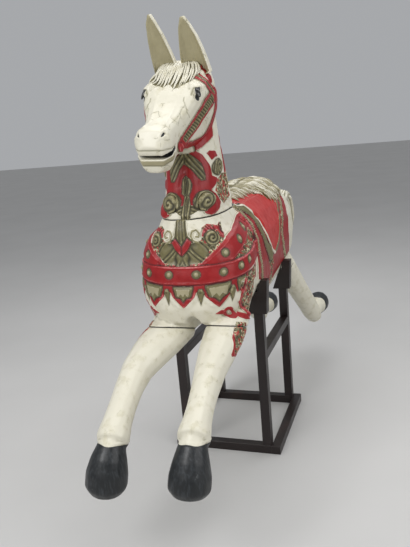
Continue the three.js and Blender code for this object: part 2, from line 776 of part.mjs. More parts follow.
// The mouth's slot between the lips, and the two nostrils.
function headCuts() {
  const mouth = new THREE.BoxGeometry(200, 90, MOUTH_OPENING);
  const place = headPoint(440, 0, MOUTH_LINE);
  mouth.rotateX(HEAD_SLOPE);
  mouth.rotateY(HEAD_TILT);
  mouth.translate(place.x, place.y, place.z);
  const nostrils = sides.map((side) => {
    const hole = new THREE.IcosahedronGeometry(NOSTRIL_RADIUS, 1);
    const centre = headSkin(414, THREE.MathUtils.degToRad(50 * side));
    return solidOf(hole.translate(centre.x, centre.y, centre.z));
  });
  return joined([solidOf(mouth), ...nostrils]);
}

// An ear: a broad upright leaf, hollowed from the front and thin at its edges.
function ear(stations) {
  const outer = stations.map(({ p, w }) => ({ p, w, d: w * EAR_DEPTH }));
  const hollow = stations.map(({ p, w }) => ({
    p: [p[0], p[1] - EAR_HOLLOW_FORWARD, p[2]],
    w: w * EAR_HOLLOW,
    d: w * EAR_DEPTH,
  }));
  return tube(outer, EAR_STEPS, EAR_SIDES).subtract(tube(hollow, EAR_STEPS, EAR_SIDES));
}

// A leg cut at its seam plane: the stump stays with the body, the rest is the leg's own piece.
function cutLeg(stations, seamPoint, seamNormal, hoof) {
  const shank = tube(stations, LEG_STEPS, LEG_SIDES);
  const whole = hoof ? shank.add(tube(hoof, hoof.length - 1, LEG_SIDES)) : shank;
  const normal = new THREE.Vector3(...seamNormal).normalize();
  const offset = normal.dot(new THREE.Vector3(...seamPoint));
  const back = normal.clone().negate();
  return {
    leg: whole.trimByPlane(normal.toArray(), offset + GAP / 2),
    stump: whole.trimByPlane(back.toArray(), GAP / 2 - offset),
  };
}

const legs = {
  foreleg_right: cutLeg(FORELEG_RIGHT, [-84, -240, 622], [0, -0.335, -0.942], FOREHOOF_RIGHT),
  foreleg_left: cutLeg(FORELEG_LEFT, [121, -238, 632], [0, -0.335, -0.942], FOREHOOF_LEFT),
  hindleg_right: cutLeg(HINDLEG_RIGHT, [-122, 605, 655], [0, 0.6, -0.8]),
  hindleg_left: cutLeg(HINDLEG_LEFT, [152, 605, 655], [0.15, 0.6, -0.78]),
};

const barrelGrown = (grow) => skinSolid(barrelSkin, BARREL, BARREL_STEPS, TRUNK_SIDES, grow);
const columnGrown = (grow) => skinSolid(columnSkin, COLUMN, COLUMN_STEPS, TRUNK_SIDES, grow);
const headGrown = (grow) => skinSolid(headSkin, HEAD, HEAD_STEPS, HEAD_SIDES, grow);

// The thin gap at the neck's seam, from the front of the breast back to where the saddle starts.
function seamSlot() {
  const slab = new THREE.BoxGeometry(400, 420, GAP);
  return solidOf(slab.translate(0, -180, SEAM_HEIGHT + GAP / 2));
}

// The hollow between the tops of the forelegs, which climbs towards the breast.
function legHollow() {
  return tube(LEG_HOLLOW, LEG_HOLLOW.length - 1, HOLLOW_SIDES);
}

function buildBody(columnBelow) {
  const stumps = Object.values(legs).map(({ stump }) => stump);
  const whole = joined([barrelGrown(0), columnBelow, ...stumps, saddleRelief(), breastRelief()]);
  const body = whole.subtract(seamSlot()).subtract(legHollow()).simplify(SLIVER);
  addPiece("body", body, "ivory");
  return body;
}

function buildNeckAndHead(columnAbove) {
  const neck = columnAbove.add(neckRelief()).trimByPlane([0, 0, 1], SEAM_HEIGHT + GAP);
  const whole = joined([neck, headGrown(0), headRelief()]);
  const carved = whole.subtract(barrelGrown(FLEECE_RISE + GAP)).subtract(headCuts()).simplify(SLIVER);
  addPiece("neck_and_head", carved, "ivory");
  return carved;
}

function buildLegs(body) {
  for (const [name, { leg }] of Object.entries(legs)) {
    const rearward = name.startsWith("hind") ? 1 : -1;
    const side = name.endsWith("right") ? -1 : 1;
    addPiece(name, clearOf(leg, body, [[side, 0, 0], [0, rearward, 0], [0, 0, -1]]), "ivory");
  }
}

function buildEarsAndTail(body, neck) {
  const ears = {
    left: ear(EAR_LEFT),
    right: ear(EAR_RIGHT),
  };
  for (const [hand, solid] of Object.entries(ears)) {
    addPiece(`ear_${hand}`, clearOf(solid, neck, [[1, 0, 0], [-1, 0, 0], [0, 0, 1], [0, -1, 0]]), "ivory");
  }
  const flute = (angle) => 1 + TAIL_FLUTE * Math.cos((TAIL_SIDES / 2) * angle);
  const tail = tube(TAIL, TAIL_STEPS, TAIL_SIDES, flute);
  addPiece("tail", clearOf(tail, body, [[0, 1, 0], [1, 0, 0], [0, 0, 1]]), "ivory");
}

const [columnAbove, columnBelow] = columnGrown(0).splitByPlane([0, 0, 1], SEAM_HEIGHT);
const body = buildBody(columnBelow);
const neck = buildNeckAndHead(columnAbove);
buildLegs(body);
buildEarsAndTail(body, neck);
buildStand();
buildCradles(body);

// The origin goes to the middle of the footprint, on the floor.
const bounds = new THREE.Box3().setFromObject(group);
group.position.set(-(bounds.min.x + bounds.max.x) / 2, -(bounds.min.y + bounds.max.y) / 2, -bounds.min.z);

export default group;
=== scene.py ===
# %% [markdown]
# # A carved and painted carousel horse in its stand
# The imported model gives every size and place. This lesson dresses it: the carved wood gets its fine
# relief and its old paint, and small repeated carvings (studs, beads, locks of hair, strands of
# fleece) are laid over it with Geometry Nodes.
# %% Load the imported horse
import math
from types import SimpleNamespace

import bmesh
import bpy
import numpy as np
from mathutils import Matrix, Vector
from mathutils.kdtree import KDTree


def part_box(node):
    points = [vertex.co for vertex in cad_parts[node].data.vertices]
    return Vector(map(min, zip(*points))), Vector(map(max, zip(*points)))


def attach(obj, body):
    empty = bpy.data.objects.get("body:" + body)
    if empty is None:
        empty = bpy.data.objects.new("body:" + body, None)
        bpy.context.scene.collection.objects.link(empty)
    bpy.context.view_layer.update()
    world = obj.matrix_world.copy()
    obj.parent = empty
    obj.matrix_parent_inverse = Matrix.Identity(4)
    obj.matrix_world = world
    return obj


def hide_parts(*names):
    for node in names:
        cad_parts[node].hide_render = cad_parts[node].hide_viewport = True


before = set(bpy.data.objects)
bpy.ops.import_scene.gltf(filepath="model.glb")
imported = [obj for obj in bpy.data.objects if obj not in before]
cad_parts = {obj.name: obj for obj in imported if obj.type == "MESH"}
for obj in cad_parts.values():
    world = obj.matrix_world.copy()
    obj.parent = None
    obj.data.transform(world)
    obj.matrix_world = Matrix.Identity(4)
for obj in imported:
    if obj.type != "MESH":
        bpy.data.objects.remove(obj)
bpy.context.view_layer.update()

# %% [markdown]
# The stand is the fixed thing in this work, so carved places are measured from it: x from the middle
# of its base, y from the front of its posts, z from the floor, all in millimetres. Two small
# functions turn these workshop places into the model's metres and back.
# %% The workshop's own axes
MM = 0.001
left_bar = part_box("base_side_left")
right_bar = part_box("base_side_right")
front_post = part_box("post_front_left")
zero = np.array([(left_bar[1].x + right_bar[0].x) / 2, front_post[0].y, 0.0])


def to_model(place):
    """Workshop millimetres to model metres."""
    return np.asarray(place, float) * MM + zero


def to_workshop(place):
    """Model metres to workshop millimetres."""
    return (np.asarray(place, float) - zero) / MM


print("workshop zero in the model", zero.round(4))

# %% [markdown]
# The viewer stands in front of the horse and to its left, a little above its shoulder. A large soft
# light hangs in front, a weaker one fills from the other side, and the floor is plain and pale.
# %% Camera, lights and floor
EYE = (727, -2121, 1300)
YAW, PITCH, ROLL = math.radians(19.68), math.radians(13.42), math.radians(-5.07)
LENS_MM = 39.0


def aim_camera():
    ahead = Vector((-math.sin(YAW) * math.cos(PITCH), math.cos(YAW) * math.cos(PITCH), -math.sin(PITCH)))
    level = Vector((math.cos(YAW), math.sin(YAW), 0))
    upright = level.cross(ahead)
    right = math.cos(ROLL) * level + math.sin(ROLL) * upright
    up = -math.sin(ROLL) * level + math.cos(ROLL) * upright
    data = bpy.data.cameras.new("viewer")
    data.lens = LENS_MM
    camera = bpy.data.objects.new("viewer", data)
    turn = Matrix((right, up, -ahead)).transposed()
    camera.matrix_world = Matrix.Translation(to_model(EYE)) @ turn.to_4x4()
    bpy.context.scene.collection.objects.link(camera)
    bpy.context.scene.camera = camera


def area_light(name, place, target, size, watts):
    data = bpy.data.lights.new(name, "AREA")
    data.size = size
    data.energy = watts
    lamp = bpy.data.objects.new(name, data)
    lamp.location = place
    lamp.rotation_euler = (Vector(target) - Vector(place)).to_track_quat("-Z", "Y").to_euler()
    bpy.context.scene.collection.objects.link(lamp)


def mesh_object(name, points, faces):
    mesh = bpy.data.meshes.new(name)
    mesh.from_pydata(points, [], faces)
    piece = bpy.data.objects.new(name, mesh)
    bpy.context.scene.collection.objects.link(piece)
    return piece


aim_camera()
area_light("key_light", place=(-1.2, -3.4, 3.2), target=(0, 0, 0.9), size=2.2, watts=96)
area_light("fill_light", place=(3.0, -1.6, 2.2), target=(0, 0, 0.8), size=2.5, watts=40)
area_light("top_light", place=(0.3, 0.8, 3.6), target=(0, 0.2, 0.8), size=3.0, watts=60)
world = bpy.data.worlds.new("studio")
world.use_nodes = True
sky = world.node_tree.nodes["Background"].inputs
sky["Color"].default_value = (0.80, 0.82, 0.85, 1)
sky["Strength"].default_value = 0.48
bpy.context.scene.world = world
bpy.context.scene.view_settings.view_transform = "Standard"
FLOOR_REACH = 30.0
corners = [(x * FLOOR_REACH, y * FLOOR_REACH, 0) for x, y in ((-1, -1), (1, -1), (1, 1), (-1, 1))]
floor = mesh_object("floor", corners, [(0, 1, 2, 3)])
print("camera at", EYE, "mm with a", LENS_MM, "mm lens")

# %% [markdown]
# Materials are node trees. Two helpers keep them readable: one turns an sRGB hex colour into the
# linear values that the shader wants, the other adds a node with its settings and its inputs, where
# an input may be a number, a colour or another node's output.
# %% Helpers for materials


def linear(code, alpha=1.0):
    parts = [int(code[i:i + 2], 16) / 255 for i in (1, 3, 5)]
    return tuple(c / 12.92 if c <= 0.04045 else ((c + 0.055) / 1.055) ** 2.4 for c in parts) + (alpha,)


def add(tree, kind, inputs=None, **settings):
    node = tree.nodes.new(kind)
    for key, value in settings.items():
        setattr(node, key, value)
    for key, value in (inputs or {}).items():
        if isinstance(value, bpy.types.NodeSocket):
            tree.links.new(value, node.inputs[key])
        else:
            node.inputs[key].default_value = value
    return node


def new_material(name):
    material = bpy.data.materials.new(name)
    material.use_nodes = True
    material.node_tree.nodes.clear()
    return material, material.node_tree


def colour_mix(tree, factor, first, second):
    return add(tree, "ShaderNodeMix", {0: factor, 6: first, 7: second}, data_type="RGBA").outputs[2]


def step_between(tree, value, low, high, start=0.0, end=1.0):
    node = add(tree, "ShaderNodeMapRange", {0: value, 1: low, 2: high, 3: start, 4: end},
               interpolation_type="SMOOTHSTEP")
    return node.outputs[0]


def sums(tree, operation, first, second):
    return add(tree, "ShaderNodeMath", {0: first, 1: second}, operation=operation).outputs[0]


print("mid grey in linear light", round(linear("#808080")[0], 3))


# %% [markdown]
# The floor is matt pale board; the stand is square timber stained dark espresso and rubbed to a
# satin. Its grain runs along each bar as fine long streaks, about 1.5 mm wide, and the stain is a
# touch redder where it has worn.
# %% Floor board and espresso-stained timber


def floor_board():
    material, tree = new_material("pale_floor_board")
    place = add(tree, "ShaderNodeTexCoord").outputs["Object"]
    cloud = add(tree, "ShaderNodeTexNoise", {"Vector": place, "Scale": 1.2, "Detail": 3.0}).outputs[0]
    tone = colour_mix(tree, cloud, linear("#bdbcba"), linear("#cbcac8"))
    shader = add(tree, "ShaderNodeBsdfPrincipled", {"Base Color": tone, "Roughness": 0.85})
    add(tree, "ShaderNodeOutputMaterial", {"Surface": shader.outputs[0]})
    return material


def espresso_timber(name, along):
    """Along is the bar's own direction: 0 for X, 1 for Y, 2 for Z."""
    material, tree = new_material(name)
    place = add(tree, "ShaderNodeTexCoord").outputs["Object"]
    stretch = [1 / 0.0015] * 3
    stretch[along] = 1 / 0.12
    grain_place = add(tree, "ShaderNodeMapping", {"Vector": place, "Scale": tuple(stretch)}).outputs[0]
    grain = add(tree, "ShaderNodeTexNoise", {"Vector": grain_place, "Scale": 1.0, "Detail": 3.0}).outputs[0]
    wear = add(tree, "ShaderNodeTexNoise", {"Vector": place, "Scale": 9.0, "Detail": 4.0}).outputs[0]
    streaks = colour_mix(tree, grain, linear("#140e0d"), linear("#241816"))
    worn = step_between(tree, wear, 0.55, 0.8)
    tone = colour_mix(tree, worn, streaks, linear("#2e1f1c"))
    bump = add(tree, "ShaderNodeBump", {"Height": grain, "Distance": 0.0004, "Strength": 0.35}).outputs[0]
    rough = step_between(tree, wear, 0.3, 0.8, 0.34, 0.5)
    shader = add(tree, "ShaderNodeBsdfPrincipled", {"Base Color": tone, "Roughness": rough, "Normal": bump})
    add(tree, "ShaderNodeOutputMaterial", {"Surface": shader.outputs[0]})
    return material


floor.data.materials.append(floor_board())
timbers = [espresso_timber("espresso_timber_" + "xyz"[i], i) for i in range(3)]
run_of = {"base_cross": 0, "base_side": 1, "rail": 1, "post": 2, "cradle": 0}
for name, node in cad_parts.items():
    start = next((key for key in run_of if name.startswith(key)), None)
    if start:
        node.data.materials.clear()
        node.data.materials.append(timbers[run_of[start]])
print("stand dressed:", sum(name.startswith(tuple(run_of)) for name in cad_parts), "bars and blocks")

# %% [markdown]
# The carved pieces need a fine, even skin before they can take relief and paint. A copy of each CAD
# solid is merged, turned into an even grid of small faces with a voxel Remesh, and its flat facets
# are rubbed round with a Smooth modifier, as a carver rubs wood with glass paper.
# %% Even out a carved solid


def keep_evaluated(piece):
    """Makes the result of a piece's modifiers its own smooth mesh."""
    made = bpy.data.meshes.new_from_object(piece.evaluated_get(bpy.context.evaluated_depsgraph_get()))
    piece.modifiers.clear()
    piece.data = made
    made.name = piece.name
    made.polygons.foreach_set("use_smooth", np.ones(len(made.polygons), bool))


def carved_copy(node, grid, rubs):
    """A copy of a CAD node on an even grid of that size in metres, rubbed that many times."""
    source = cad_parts[node]
    work = bmesh.new()
    work.from_mesh(source.data)
    bmesh.ops.remove_doubles(work, verts=work.verts, dist=1e-5)
    mesh = bpy.data.meshes.new(node + "_carved")
    work.to_mesh(mesh)
    work.free()
    piece = bpy.data.objects.new(node + "_carved", mesh)
    bpy.context.scene.collection.objects.link(piece)
    even = piece.modifiers.new("even_grid", "REMESH")
    even.mode = "VOXEL"
    even.voxel_size = grid
    rub = piece.modifiers.new("rub_round", "SMOOTH")
    rub.factor = 0.5
    rub.iterations = rubs
    keep_evaluated(piece)
    print(piece.name, len(piece.data.polygons), "faces")
    return piece


def points_of(piece):
    flat = np.empty(len(piece.data.vertices) * 3)
    piece.data.vertices.foreach_get("co", flat)
    return flat.reshape(-1, 3)


def normals_of(piece):
    flat = np.empty(len(piece.data.vertices) * 3, np.float32)
    piece.data.vertex_normals.foreach_get("vector", flat)
    return flat.reshape(-1, 3).astype(float)


# %% [markdown]
# Ornament is drawn on flat charts of the body, in millimetres, the way a painter draws a pounced
# pattern: the collar chart unrolls the breast and neck (round from the middle of the chest, and
# height), the side chart unrolls the barrel (along the horse, and down from the backbone), and the
# head chart runs along the nose.
# %% Charts of the body
HEIGHTS = [640, 700, 800, 880, 955, 1020, 1060, 1120, 1180, 1250, 1330, 1470]
COLLAR_HALF = [140, 184, 196, 191, 156, 105, 98, 97, 95, 88, 84, 64]
COLLAR_MIDDLE = [-160, -150, -150, -136, -120, -110, -110, -105, -100, -90, -80, -60]
COLLAR_REACH = [130, 183, 178, 179, 186, 186, 160, 127, 108, 100, 90, 55]
SEAM = 1020
BARREL_MIDDLE = 805
BARREL_HALF = 186
SIDE_RADIUS = 190


def collar_chart(place):
    x, y, z = place.T
    half = np.interp(z, HEIGHTS, COLLAR_HALF)
    reach = np.interp(z, HEIGHTS, COLLAR_REACH)
    turn = np.arctan2(x / half, (np.interp(z, HEIGHTS, COLLAR_MIDDLE) - y) / reach)
    return np.stack([turn * np.sqrt((half**2 + reach**2) / 2), z], 1)


def side_chart(place):
    x, y, z = place.T
    turn = np.arctan2(np.abs(x), (z - BARREL_MIDDLE) * BARREL_HALF / 240)
    return np.stack([y, turn * SIDE_RADIUS], 1)


HEAD_SLOPE, HEAD_TILT = math.radians(25), math.radians(4)
HEAD_ROOT = np.array([-12.0, -40.0, 1440.0])
NOSE = np.array([0, -math.cos(HEAD_SLOPE), -math.sin(HEAD_SLOPE)])
CROWN = np.array([math.sin(HEAD_TILT), -math.sin(HEAD_SLOPE), math.cos(HEAD_SLOPE)])
CROWN[1:] *= math.cos(HEAD_TILT)
CHEEK = np.cross(CROWN, NOSE)


def head_chart(place):
    """Along the nose, sideways towards the horse's left, and up out of the nose."""
    away = place - HEAD_ROOT
    return away @ NOSE, away @ CHEEK, away @ CROWN


HEAD_ALONG = [-40, -10, 40, 100, 160, 205, 245, 300, 350, 395, 425, 451]
HEAD_HALF = [68, 90, 106, 110, 106, 98, 80, 62, 54, 59, 60, 39]
HEAD_MIDDLE = [10, 20, 30, 36, 48, 50, 30, 10, 5, 10, 5, -5]
HEAD_TOP = [60, 98, 114, 112, 104, 96, 76, 60, 56, 62, 56, 20]
HEAD_FOOT = [-60, -105, -128, -134, -126, -112, -98, -84, -80, -84, -84, -68]


def outside_head(along, across, up):
    """How far a point is outside the head's own section, as a share: about 1 on its skin."""
    half, middle, top, foot = (np.interp(along, HEAD_ALONG, row)
                               for row in (HEAD_HALF, HEAD_MIDDLE, HEAD_TOP, HEAD_FOOT))
    rise = np.where(up > middle, (up - middle) / (top - middle), (middle - up) / (middle - foot))
    return np.abs(across / half) ** 2.9 + np.abs(rise) ** 2.9


print("head axes", NOSE.round(3), CHEEK.round(3), CROWN.round(3))

# %% [markdown]
# Each drawn shape is a signed distance in millimetres: negative inside, zero on its outline. Shapes
# then add up like cut paper, and one number serves both the paint's edge and the carving's slope.
# %% Drawn shapes


def line_distance(chart, path):
    best = np.full(len(chart), 1e9)
    for a, b in zip(path[:-1], path[1:]):
        a, b = np.asarray(a, float), np.asarray(b, float)
        run = b - a
        share = np.clip(((chart - a) @ run) / (run @ run), 0, 1)
        best = np.minimum(best, np.linalg.norm(chart - a - share[:, None] * run, axis=1))
    return best


def stroke(chart, path, width):
    return line_distance(chart, path) - width / 2


def field(chart, corners):
    """A closed area with straight sides between its corners."""
    ring = list(corners) + [corners[0]]
    odd = np.zeros(len(chart), bool)
    for (ax, ay), (bx, by) in zip(ring[:-1], ring[1:]):
        if ay == by:
            continue
        crosses = (chart[:, 1] > min(ay, by)) & (chart[:, 1] <= max(ay, by))
        odd ^= crosses & (chart[:, 0] < ax + (chart[:, 1] - ay) * (bx - ax) / (by - ay))
    distance = line_distance(chart, ring)
    return np.where(odd, -distance, distance)


def oval(chart, middle, across, high=None):
    high = high or across
    scaled = (chart - np.asarray(middle, float)) / [across, high]
    return (np.linalg.norm(scaled, axis=1) - 1) * min(across, high)


def mirrored(chart):
    """The chart folded on its middle line, for ornament that is the same on both hands."""
    return np.stack([np.abs(chart[:, 0]), chart[:, 1]], 1)


def spiral(chart, middle, pitch):
    """Height from -1 to 1 of a ridge that winds round a middle."""
    away = chart - np.asarray(middle, float)
    turn = np.arctan2(away[:, 1], away[:, 0])
    return np.cos(2 * math.pi * np.linalg.norm(away, axis=1) / pitch - turn)


print("middle of a 10 mm disc:", oval(np.zeros((1, 2)), (0, 0), 10)[0], "mm from its edge")


# %% [markdown]
# A coat keeps, for every point of a piece, how far it is from the edge of each colour and how much
# the carving lifts it. Painting a shape takes it away from every other colour, as a new coat covers
# an old one. A mask works like masking tape: only what it leaves open takes paint or cuts.
# %% Coats of paint and the lift of the carving
COLOURS = ("red", "gold", "mottled", "black", "coral", "tan")
EDGE_MM = 4.0
FAR_AWAY = 50.0


class Coat:
    def __init__(self, piece):
        self.piece = piece
        self.place = to_workshop(points_of(piece))
        self.far = {name: np.full(len(self.place), FAR_AWAY) for name in COLOURS}
        self.lift = np.zeros(len(self.place))
        self.groove = np.zeros(len(self.place))
        self.open = True

    def mask(self, open_points):
        """From here on only these points take paint and cuts."""
        self.open = open_points

    def unmasked(self, shape):
        return np.where(self.open, shape, FAR_AWAY)

    def paint(self, colour, shape):
        over_itself = np.minimum(self.far[colour], self.unmasked(shape))
        self.leave_bare(shape)
        self.far[colour] = over_itself

    def leave_bare(self, shape):
        """Leaves the ivory ground where a shape is."""
        for name in COLOURS:
            self.far[name] = np.maximum(self.far[name], -self.unmasked(shape))

    def level(self, shape):
        """Cuts the carving inside a shape back to the plain surface."""
        outside = np.clip(0.5 + self.unmasked(shape) / 6, 0, 1)
        self.lift *= outside
        self.groove *= outside

    def carve(self, shape, height=3.0, slope=3.0):
        """Lifts the inside of a shape by a height, with a slope of that width at its edge."""
        share = np.clip(0.5 - self.unmasked(shape) / (2 * slope), 0, 1)
        self.lift += height * share * share * (3 - 2 * share)

    def raised(self, colour, shape, height=3.0, slope=3.0):
        """A shape that is both painted and lifted."""
        self.paint(colour, shape)
        self.carve(shape, height, slope)

    def ridge(self, shape, pattern, height):
        """Adds a pattern of ridges inside a shape, and marks its grooves for darker paint."""
        inside = np.clip(-self.unmasked(shape) / 3, 0, 1)
        self.lift += inside * pattern * height
        self.groove = np.maximum(self.groove, inside * np.clip(-pattern, 0, 1))

    def bead(self, distance, width, height):
        """A raised rounded edge, or a cut line where the height is negative."""
        share = np.exp(-((self.unmasked(distance) / width) ** 2))
        self.lift += height * share
        if height < 0:
            self.groove = np.maximum(self.groove, share)

    def finish(self, material):
        """Lifts the points, and leaves the paint's edges on the mesh as attributes."""
        mesh = self.piece.data
        moved = points_of(self.piece) + normals_of(self.piece) * (self.lift * MM)[:, None]
        mesh.vertices.foreach_set("co", moved.ravel())
        mesh.update()
        layers = {name: np.clip(0.5 - far / (2 * EDGE_MM), 0, 1) for name, far in self.far.items()}
        layers["groove"] = np.clip(self.groove, -1, 1)
        layers["crest"] = np.clip(hollow_and_crest(self.piece), -1, 1)
        for name, values in layers.items():
            mesh.attributes.new(name, "FLOAT", "POINT").data.foreach_set("value", values.astype(np.float32))
        mesh.materials.append(material)


print("colours of paint:", COLOURS)

# %% [markdown]
# The paint is darker in hollows and paler on crests, where red is rubbed thin and gold carries a
# painted highlight, so each point needs to know which it is: how far it stands out of the mean of its
# neighbours, smoothed a little over the grid.
# %% Hollows and crests
CREST_FULL = 0.00040


def hollow_and_crest(piece):
    """How far each point stands out of its neighbours: below 0 in hollows, above 0 on crests."""
    mesh = piece.data
    ends = np.empty(len(mesh.edges) * 2, int)
    mesh.edges.foreach_get("vertices", ends)
    ends = ends.reshape(-1, 2)
    place = points_of(piece)
    normal = normals_of(piece)
    count = np.bincount(ends.ravel(), minlength=len(place))[:, None]

    def neighbours(values):
        total = np.zeros_like(values)
        np.add.at(total, ends[:, 0], values[ends[:, 1]])
        np.add.at(total, ends[:, 1], values[ends[:, 0]])
        return total / np.maximum(count, 1)

    out = ((place - neighbours(place)) * normal).sum(1)[:, None]
    for _ in range(2):
        out = (out + neighbours(out)) / 2
    return out[:, 0] / CREST_FULL


print("a full crest stands", CREST_FULL / MM, "mm out")

# %% [markdown]
# The horse wears old oil paint over gesso on carved wood. Its age comes first, because every colour
# shares it: broad clouds and patches, brush marks, darker paint in the hollows, paler crests (rubbed
# thin on red and coral, a painted highlight on gold), and a net of fine cracks about 45 mm apart that
# shows on the face.
# %% Age of the paint, and a painted highlight on crests
CRACK_CELL = 0.045


def noise_cloud(tree, place, size, detail=3.0):
    """A noise whose spots are about a size across, in metres."""
    return add(tree, "ShaderNodeTexNoise", {"Vector": place, "Scale": 1 / size, "Detail": detail}).outputs[0]


def painted_layer(tree, name):
    return add(tree, "ShaderNodeAttribute", attribute_name=name).outputs["Fac"]


def product(tree, first, second):
    return sums(tree, "MULTIPLY", first, second)


def crack_net(tree, age):
    swirl = add(tree, "ShaderNodeTexNoise", {"Vector": age.place, "Scale": 30.0, "Detail": 2.0}).outputs[1]
    bend = (0.012, 0.012, 0.012)
    bent = add(tree, "ShaderNodeVectorMath", {0: swirl, 1: bend}, operation="MULTIPLY").outputs[0]
    age.bent = add(tree, "ShaderNodeVectorMath", {0: age.place, 1: bent}, operation="ADD").outputs[0]
    cells = {"Vector": age.bent, "Scale": 1 / CRACK_CELL}
    net = add(tree, "ShaderNodeTexVoronoi", cells, feature="DISTANCE_TO_EDGE").outputs["Distance"]
    height = add(tree, "ShaderNodeSeparateXYZ", {0: age.place}).outputs[2]
    on_face = step_between(tree, height, 1.10, 1.25, 0.25, 1.0)
    thin = step_between(tree, net, 0.022, 0.006)
    broken = step_between(tree, age.patch, 0.52, 0.60)
    return product(tree, product(tree, thin, broken), on_face)


def paint_age(tree):
    age = SimpleNamespace(place=add(tree, "ShaderNodeTexCoord").outputs["Object"])
    age.broad, age.patch = noise_cloud(tree, age.place, 0.16), noise_cloud(tree, age.place, 0.030, 4.0)
    age.grain, age.brush = noise_cloud(tree, age.place, 0.004, 2.0), noise_cloud(tree, age.place, 0.010)
    age.flecks = noise_cloud(tree, age.place, 0.009, 2.0)
    crest = painted_layer(tree, "crest")
    hollow = step_between(tree, crest, -0.10, -0.9)
    # Darker paint in the hollows and along the cut grooves.
    age.dirt = sums(tree, "MAXIMUM", hollow, painted_layer(tree, "groove"))
    # Paler paint on patchy crests: wear where red and coral rub thin, a painted highlight on the gold.
    age.rubbed = product(tree, step_between(tree, crest, 0.40, 1.0),
                         step_between(tree, age.brush, 0.35, 0.6, 0.25, 0.85))
    age.cracks = crack_net(tree, age)
    return age


print("cells between the cracks", CRACK_CELL / MM, "mm")


# %% [markdown]
# Each colour is two close tones clouded together, a darker one in the hollows and a paler one on
# the crests, where red and coral have rubbed thin and gold carries a painted highlight: ivory on the
# flesh, crimson on the harness, coral on the saddle flap, a brown-green gold on the carving, tan inside
# the ears, and charcoal black on the hooves. The eye reads the wood below from the soft gloss and the
# darker hollows, never from one flat colour.
# %% Colours of the old paint


def layered(tree, tone, *layers):
    """Lays colours over a tone in turn, each by its own share."""
    for share, code in layers:
        tone = colour_mix(tree, share, tone, linear(code))
    return tone


def ivory_paint(tree, age):
    stained = step_between(tree, age.patch, 0.48, 0.72, 0.0, 0.45)
    specks = product(tree, step_between(tree, age.grain, 0.66, 0.76),
                     step_between(tree, age.patch, 0.45, 0.65, 0.05, 0.6))
    # Ivory is darker in the hollows and cut grooves.
    return layered(tree, linear("#d3cebb"), (age.broad, "#e2decd"), (stained, "#bdb696"),
                   (product(tree, age.dirt, 0.85), "#77724f"), (product(tree, age.cracks, 0.7), "#6f6a50"),
                   (specks, "#8b8461"))


def coral_paint(tree, age):
    stained = step_between(tree, age.patch, 0.55, 0.7, 0.0, 0.35)
    return layered(tree, linear("#a91a16"), (age.broad, "#c42a22"), (stained, "#94120f"),
                   (product(tree, age.dirt, 0.7), "#701716"), (age.rubbed, "#dc9187"))


def mottled_paint(tree, age, gold):
    """Gold leafwork picked out with cream, crimson and dark strokes about 10 mm long."""
    strokes = noise_cloud(tree, age.bent, 0.012, 2.0)
    return layered(tree, gold, (step_between(tree, age.flecks, 0.52, 0.60), "#c9c19d"),
                   (step_between(tree, strokes, 0.53, 0.58, 0.0, 0.9), "#a31d20"),
                   (step_between(tree, strokes, 0.42, 0.36, 0.0, 0.8), "#38331d"))


def hoof_black(tree, age):
    """Charcoal with fine upright streaks and grey scuffs."""
    upright = add(tree, "ShaderNodeMapping", {"Vector": age.place, "Scale": (160, 160, 22)}).outputs[0]
    streaks = noise_cloud(tree, upright, 1.0, 4.0)
    return layered(tree, linear("#15181a"), (step_between(tree, streaks, 0.45, 0.75), "#2f3336"),
                   (step_between(tree, age.patch, 0.68, 0.74, 0.0, 0.6), "#666a6b"))


print("ivory in linear light", np.round(linear("#e2decd"), 3))


# %% [markdown]
# The coats lie over each other in the order a painter would lay them. Their edges come from the
# coat's attributes, roughened by the brush noise so that they look painted by hand.
# %% Aged paint on carved wood


def aged_paint():
    material, tree = new_material("aged_paint_on_carved_wood")
    age = paint_age(tree)
    ragged = product(tree, sums(tree, "SUBTRACT", age.brush, 0.5), 0.30)

    def covers(name):
        return step_between(tree, sums(tree, "ADD", painted_layer(tree, name), ragged), 0.44, 0.56)

    # Gold is lighter on the crests: a painted highlight.
    gold = layered(tree, linear("#5c5636"), (age.brush, "#7f7852"), (age.dirt, "#2f2b1a"),
                   (age.rubbed, "#a79f7a"))
    red = layered(tree, linear("#7a0509"), (age.patch, "#a60e12"), (age.dirt, "#40080b"),
                  (age.rubbed, "#cf6f70"))
    tan = layered(tree, linear("#938b6b"), (age.patch, "#aaa283"), (age.dirt, "#5b5539"))
    tone = colour_mix(tree, covers("tan"), ivory_paint(tree, age), tan)
    tone = colour_mix(tree, covers("gold"), tone, gold)
    tone = colour_mix(tree, covers("mottled"), tone, mottled_paint(tree, age, gold))
    tone = colour_mix(tree, covers("red"), tone, red)
    tone = colour_mix(tree, covers("coral"), tone, coral_paint(tree, age))
    tone = colour_mix(tree, step_between(tree, painted_layer(tree, "black"), 0.42, 0.58), tone,
                      hoof_black(tree, age))

    relief = sums(tree, "ADD", product(tree, age.grain, 0.5), age.brush)
    relief = sums(tree, "SUBTRACT", relief, age.cracks)
    lumps = product(tree, painted_layer(tree, "mottled"), product(tree, age.flecks, 4.0))
    relief = sums(tree, "ADD", relief, lumps)
    bump = add(tree, "ShaderNodeBump", {"Height": relief, "Distance": 0.0009, "Strength": 0.45}).outputs[0]
    rough = step_between(tree, age.patch, 0.3, 0.8, 0.34, 0.52)
    rough = sums(tree, "ADD", rough, product(tree, age.dirt, 0.25))
    shader = add(tree, "ShaderNodeBsdfPrincipled", {"Base Color": tone, "Roughness": rough, "Normal": bump})
    add(tree, "ShaderNodeOutputMaterial", {"Surface": shader.outputs[0]})
    return material


old_paint = aged_paint()
print("nodes in the paint:", len(old_paint.node_tree.nodes))

# %% [markdown]
# The breast carries the harness. A wide band with a row of scallops hangs round it, two shoulder
# straps cross down to it, and between them lie a heart, curling gold foliage and a flower on either
# side. The real carver cut all this a few millimetres deep, so each shape is both painted and raised.
# The chart is folded on the breast's middle line, so each shape is drawn once for both hands.
# %% Breast: foliage, flowers and heart
BREAST_MIDDLE = 4
BREAST_BACK = 60


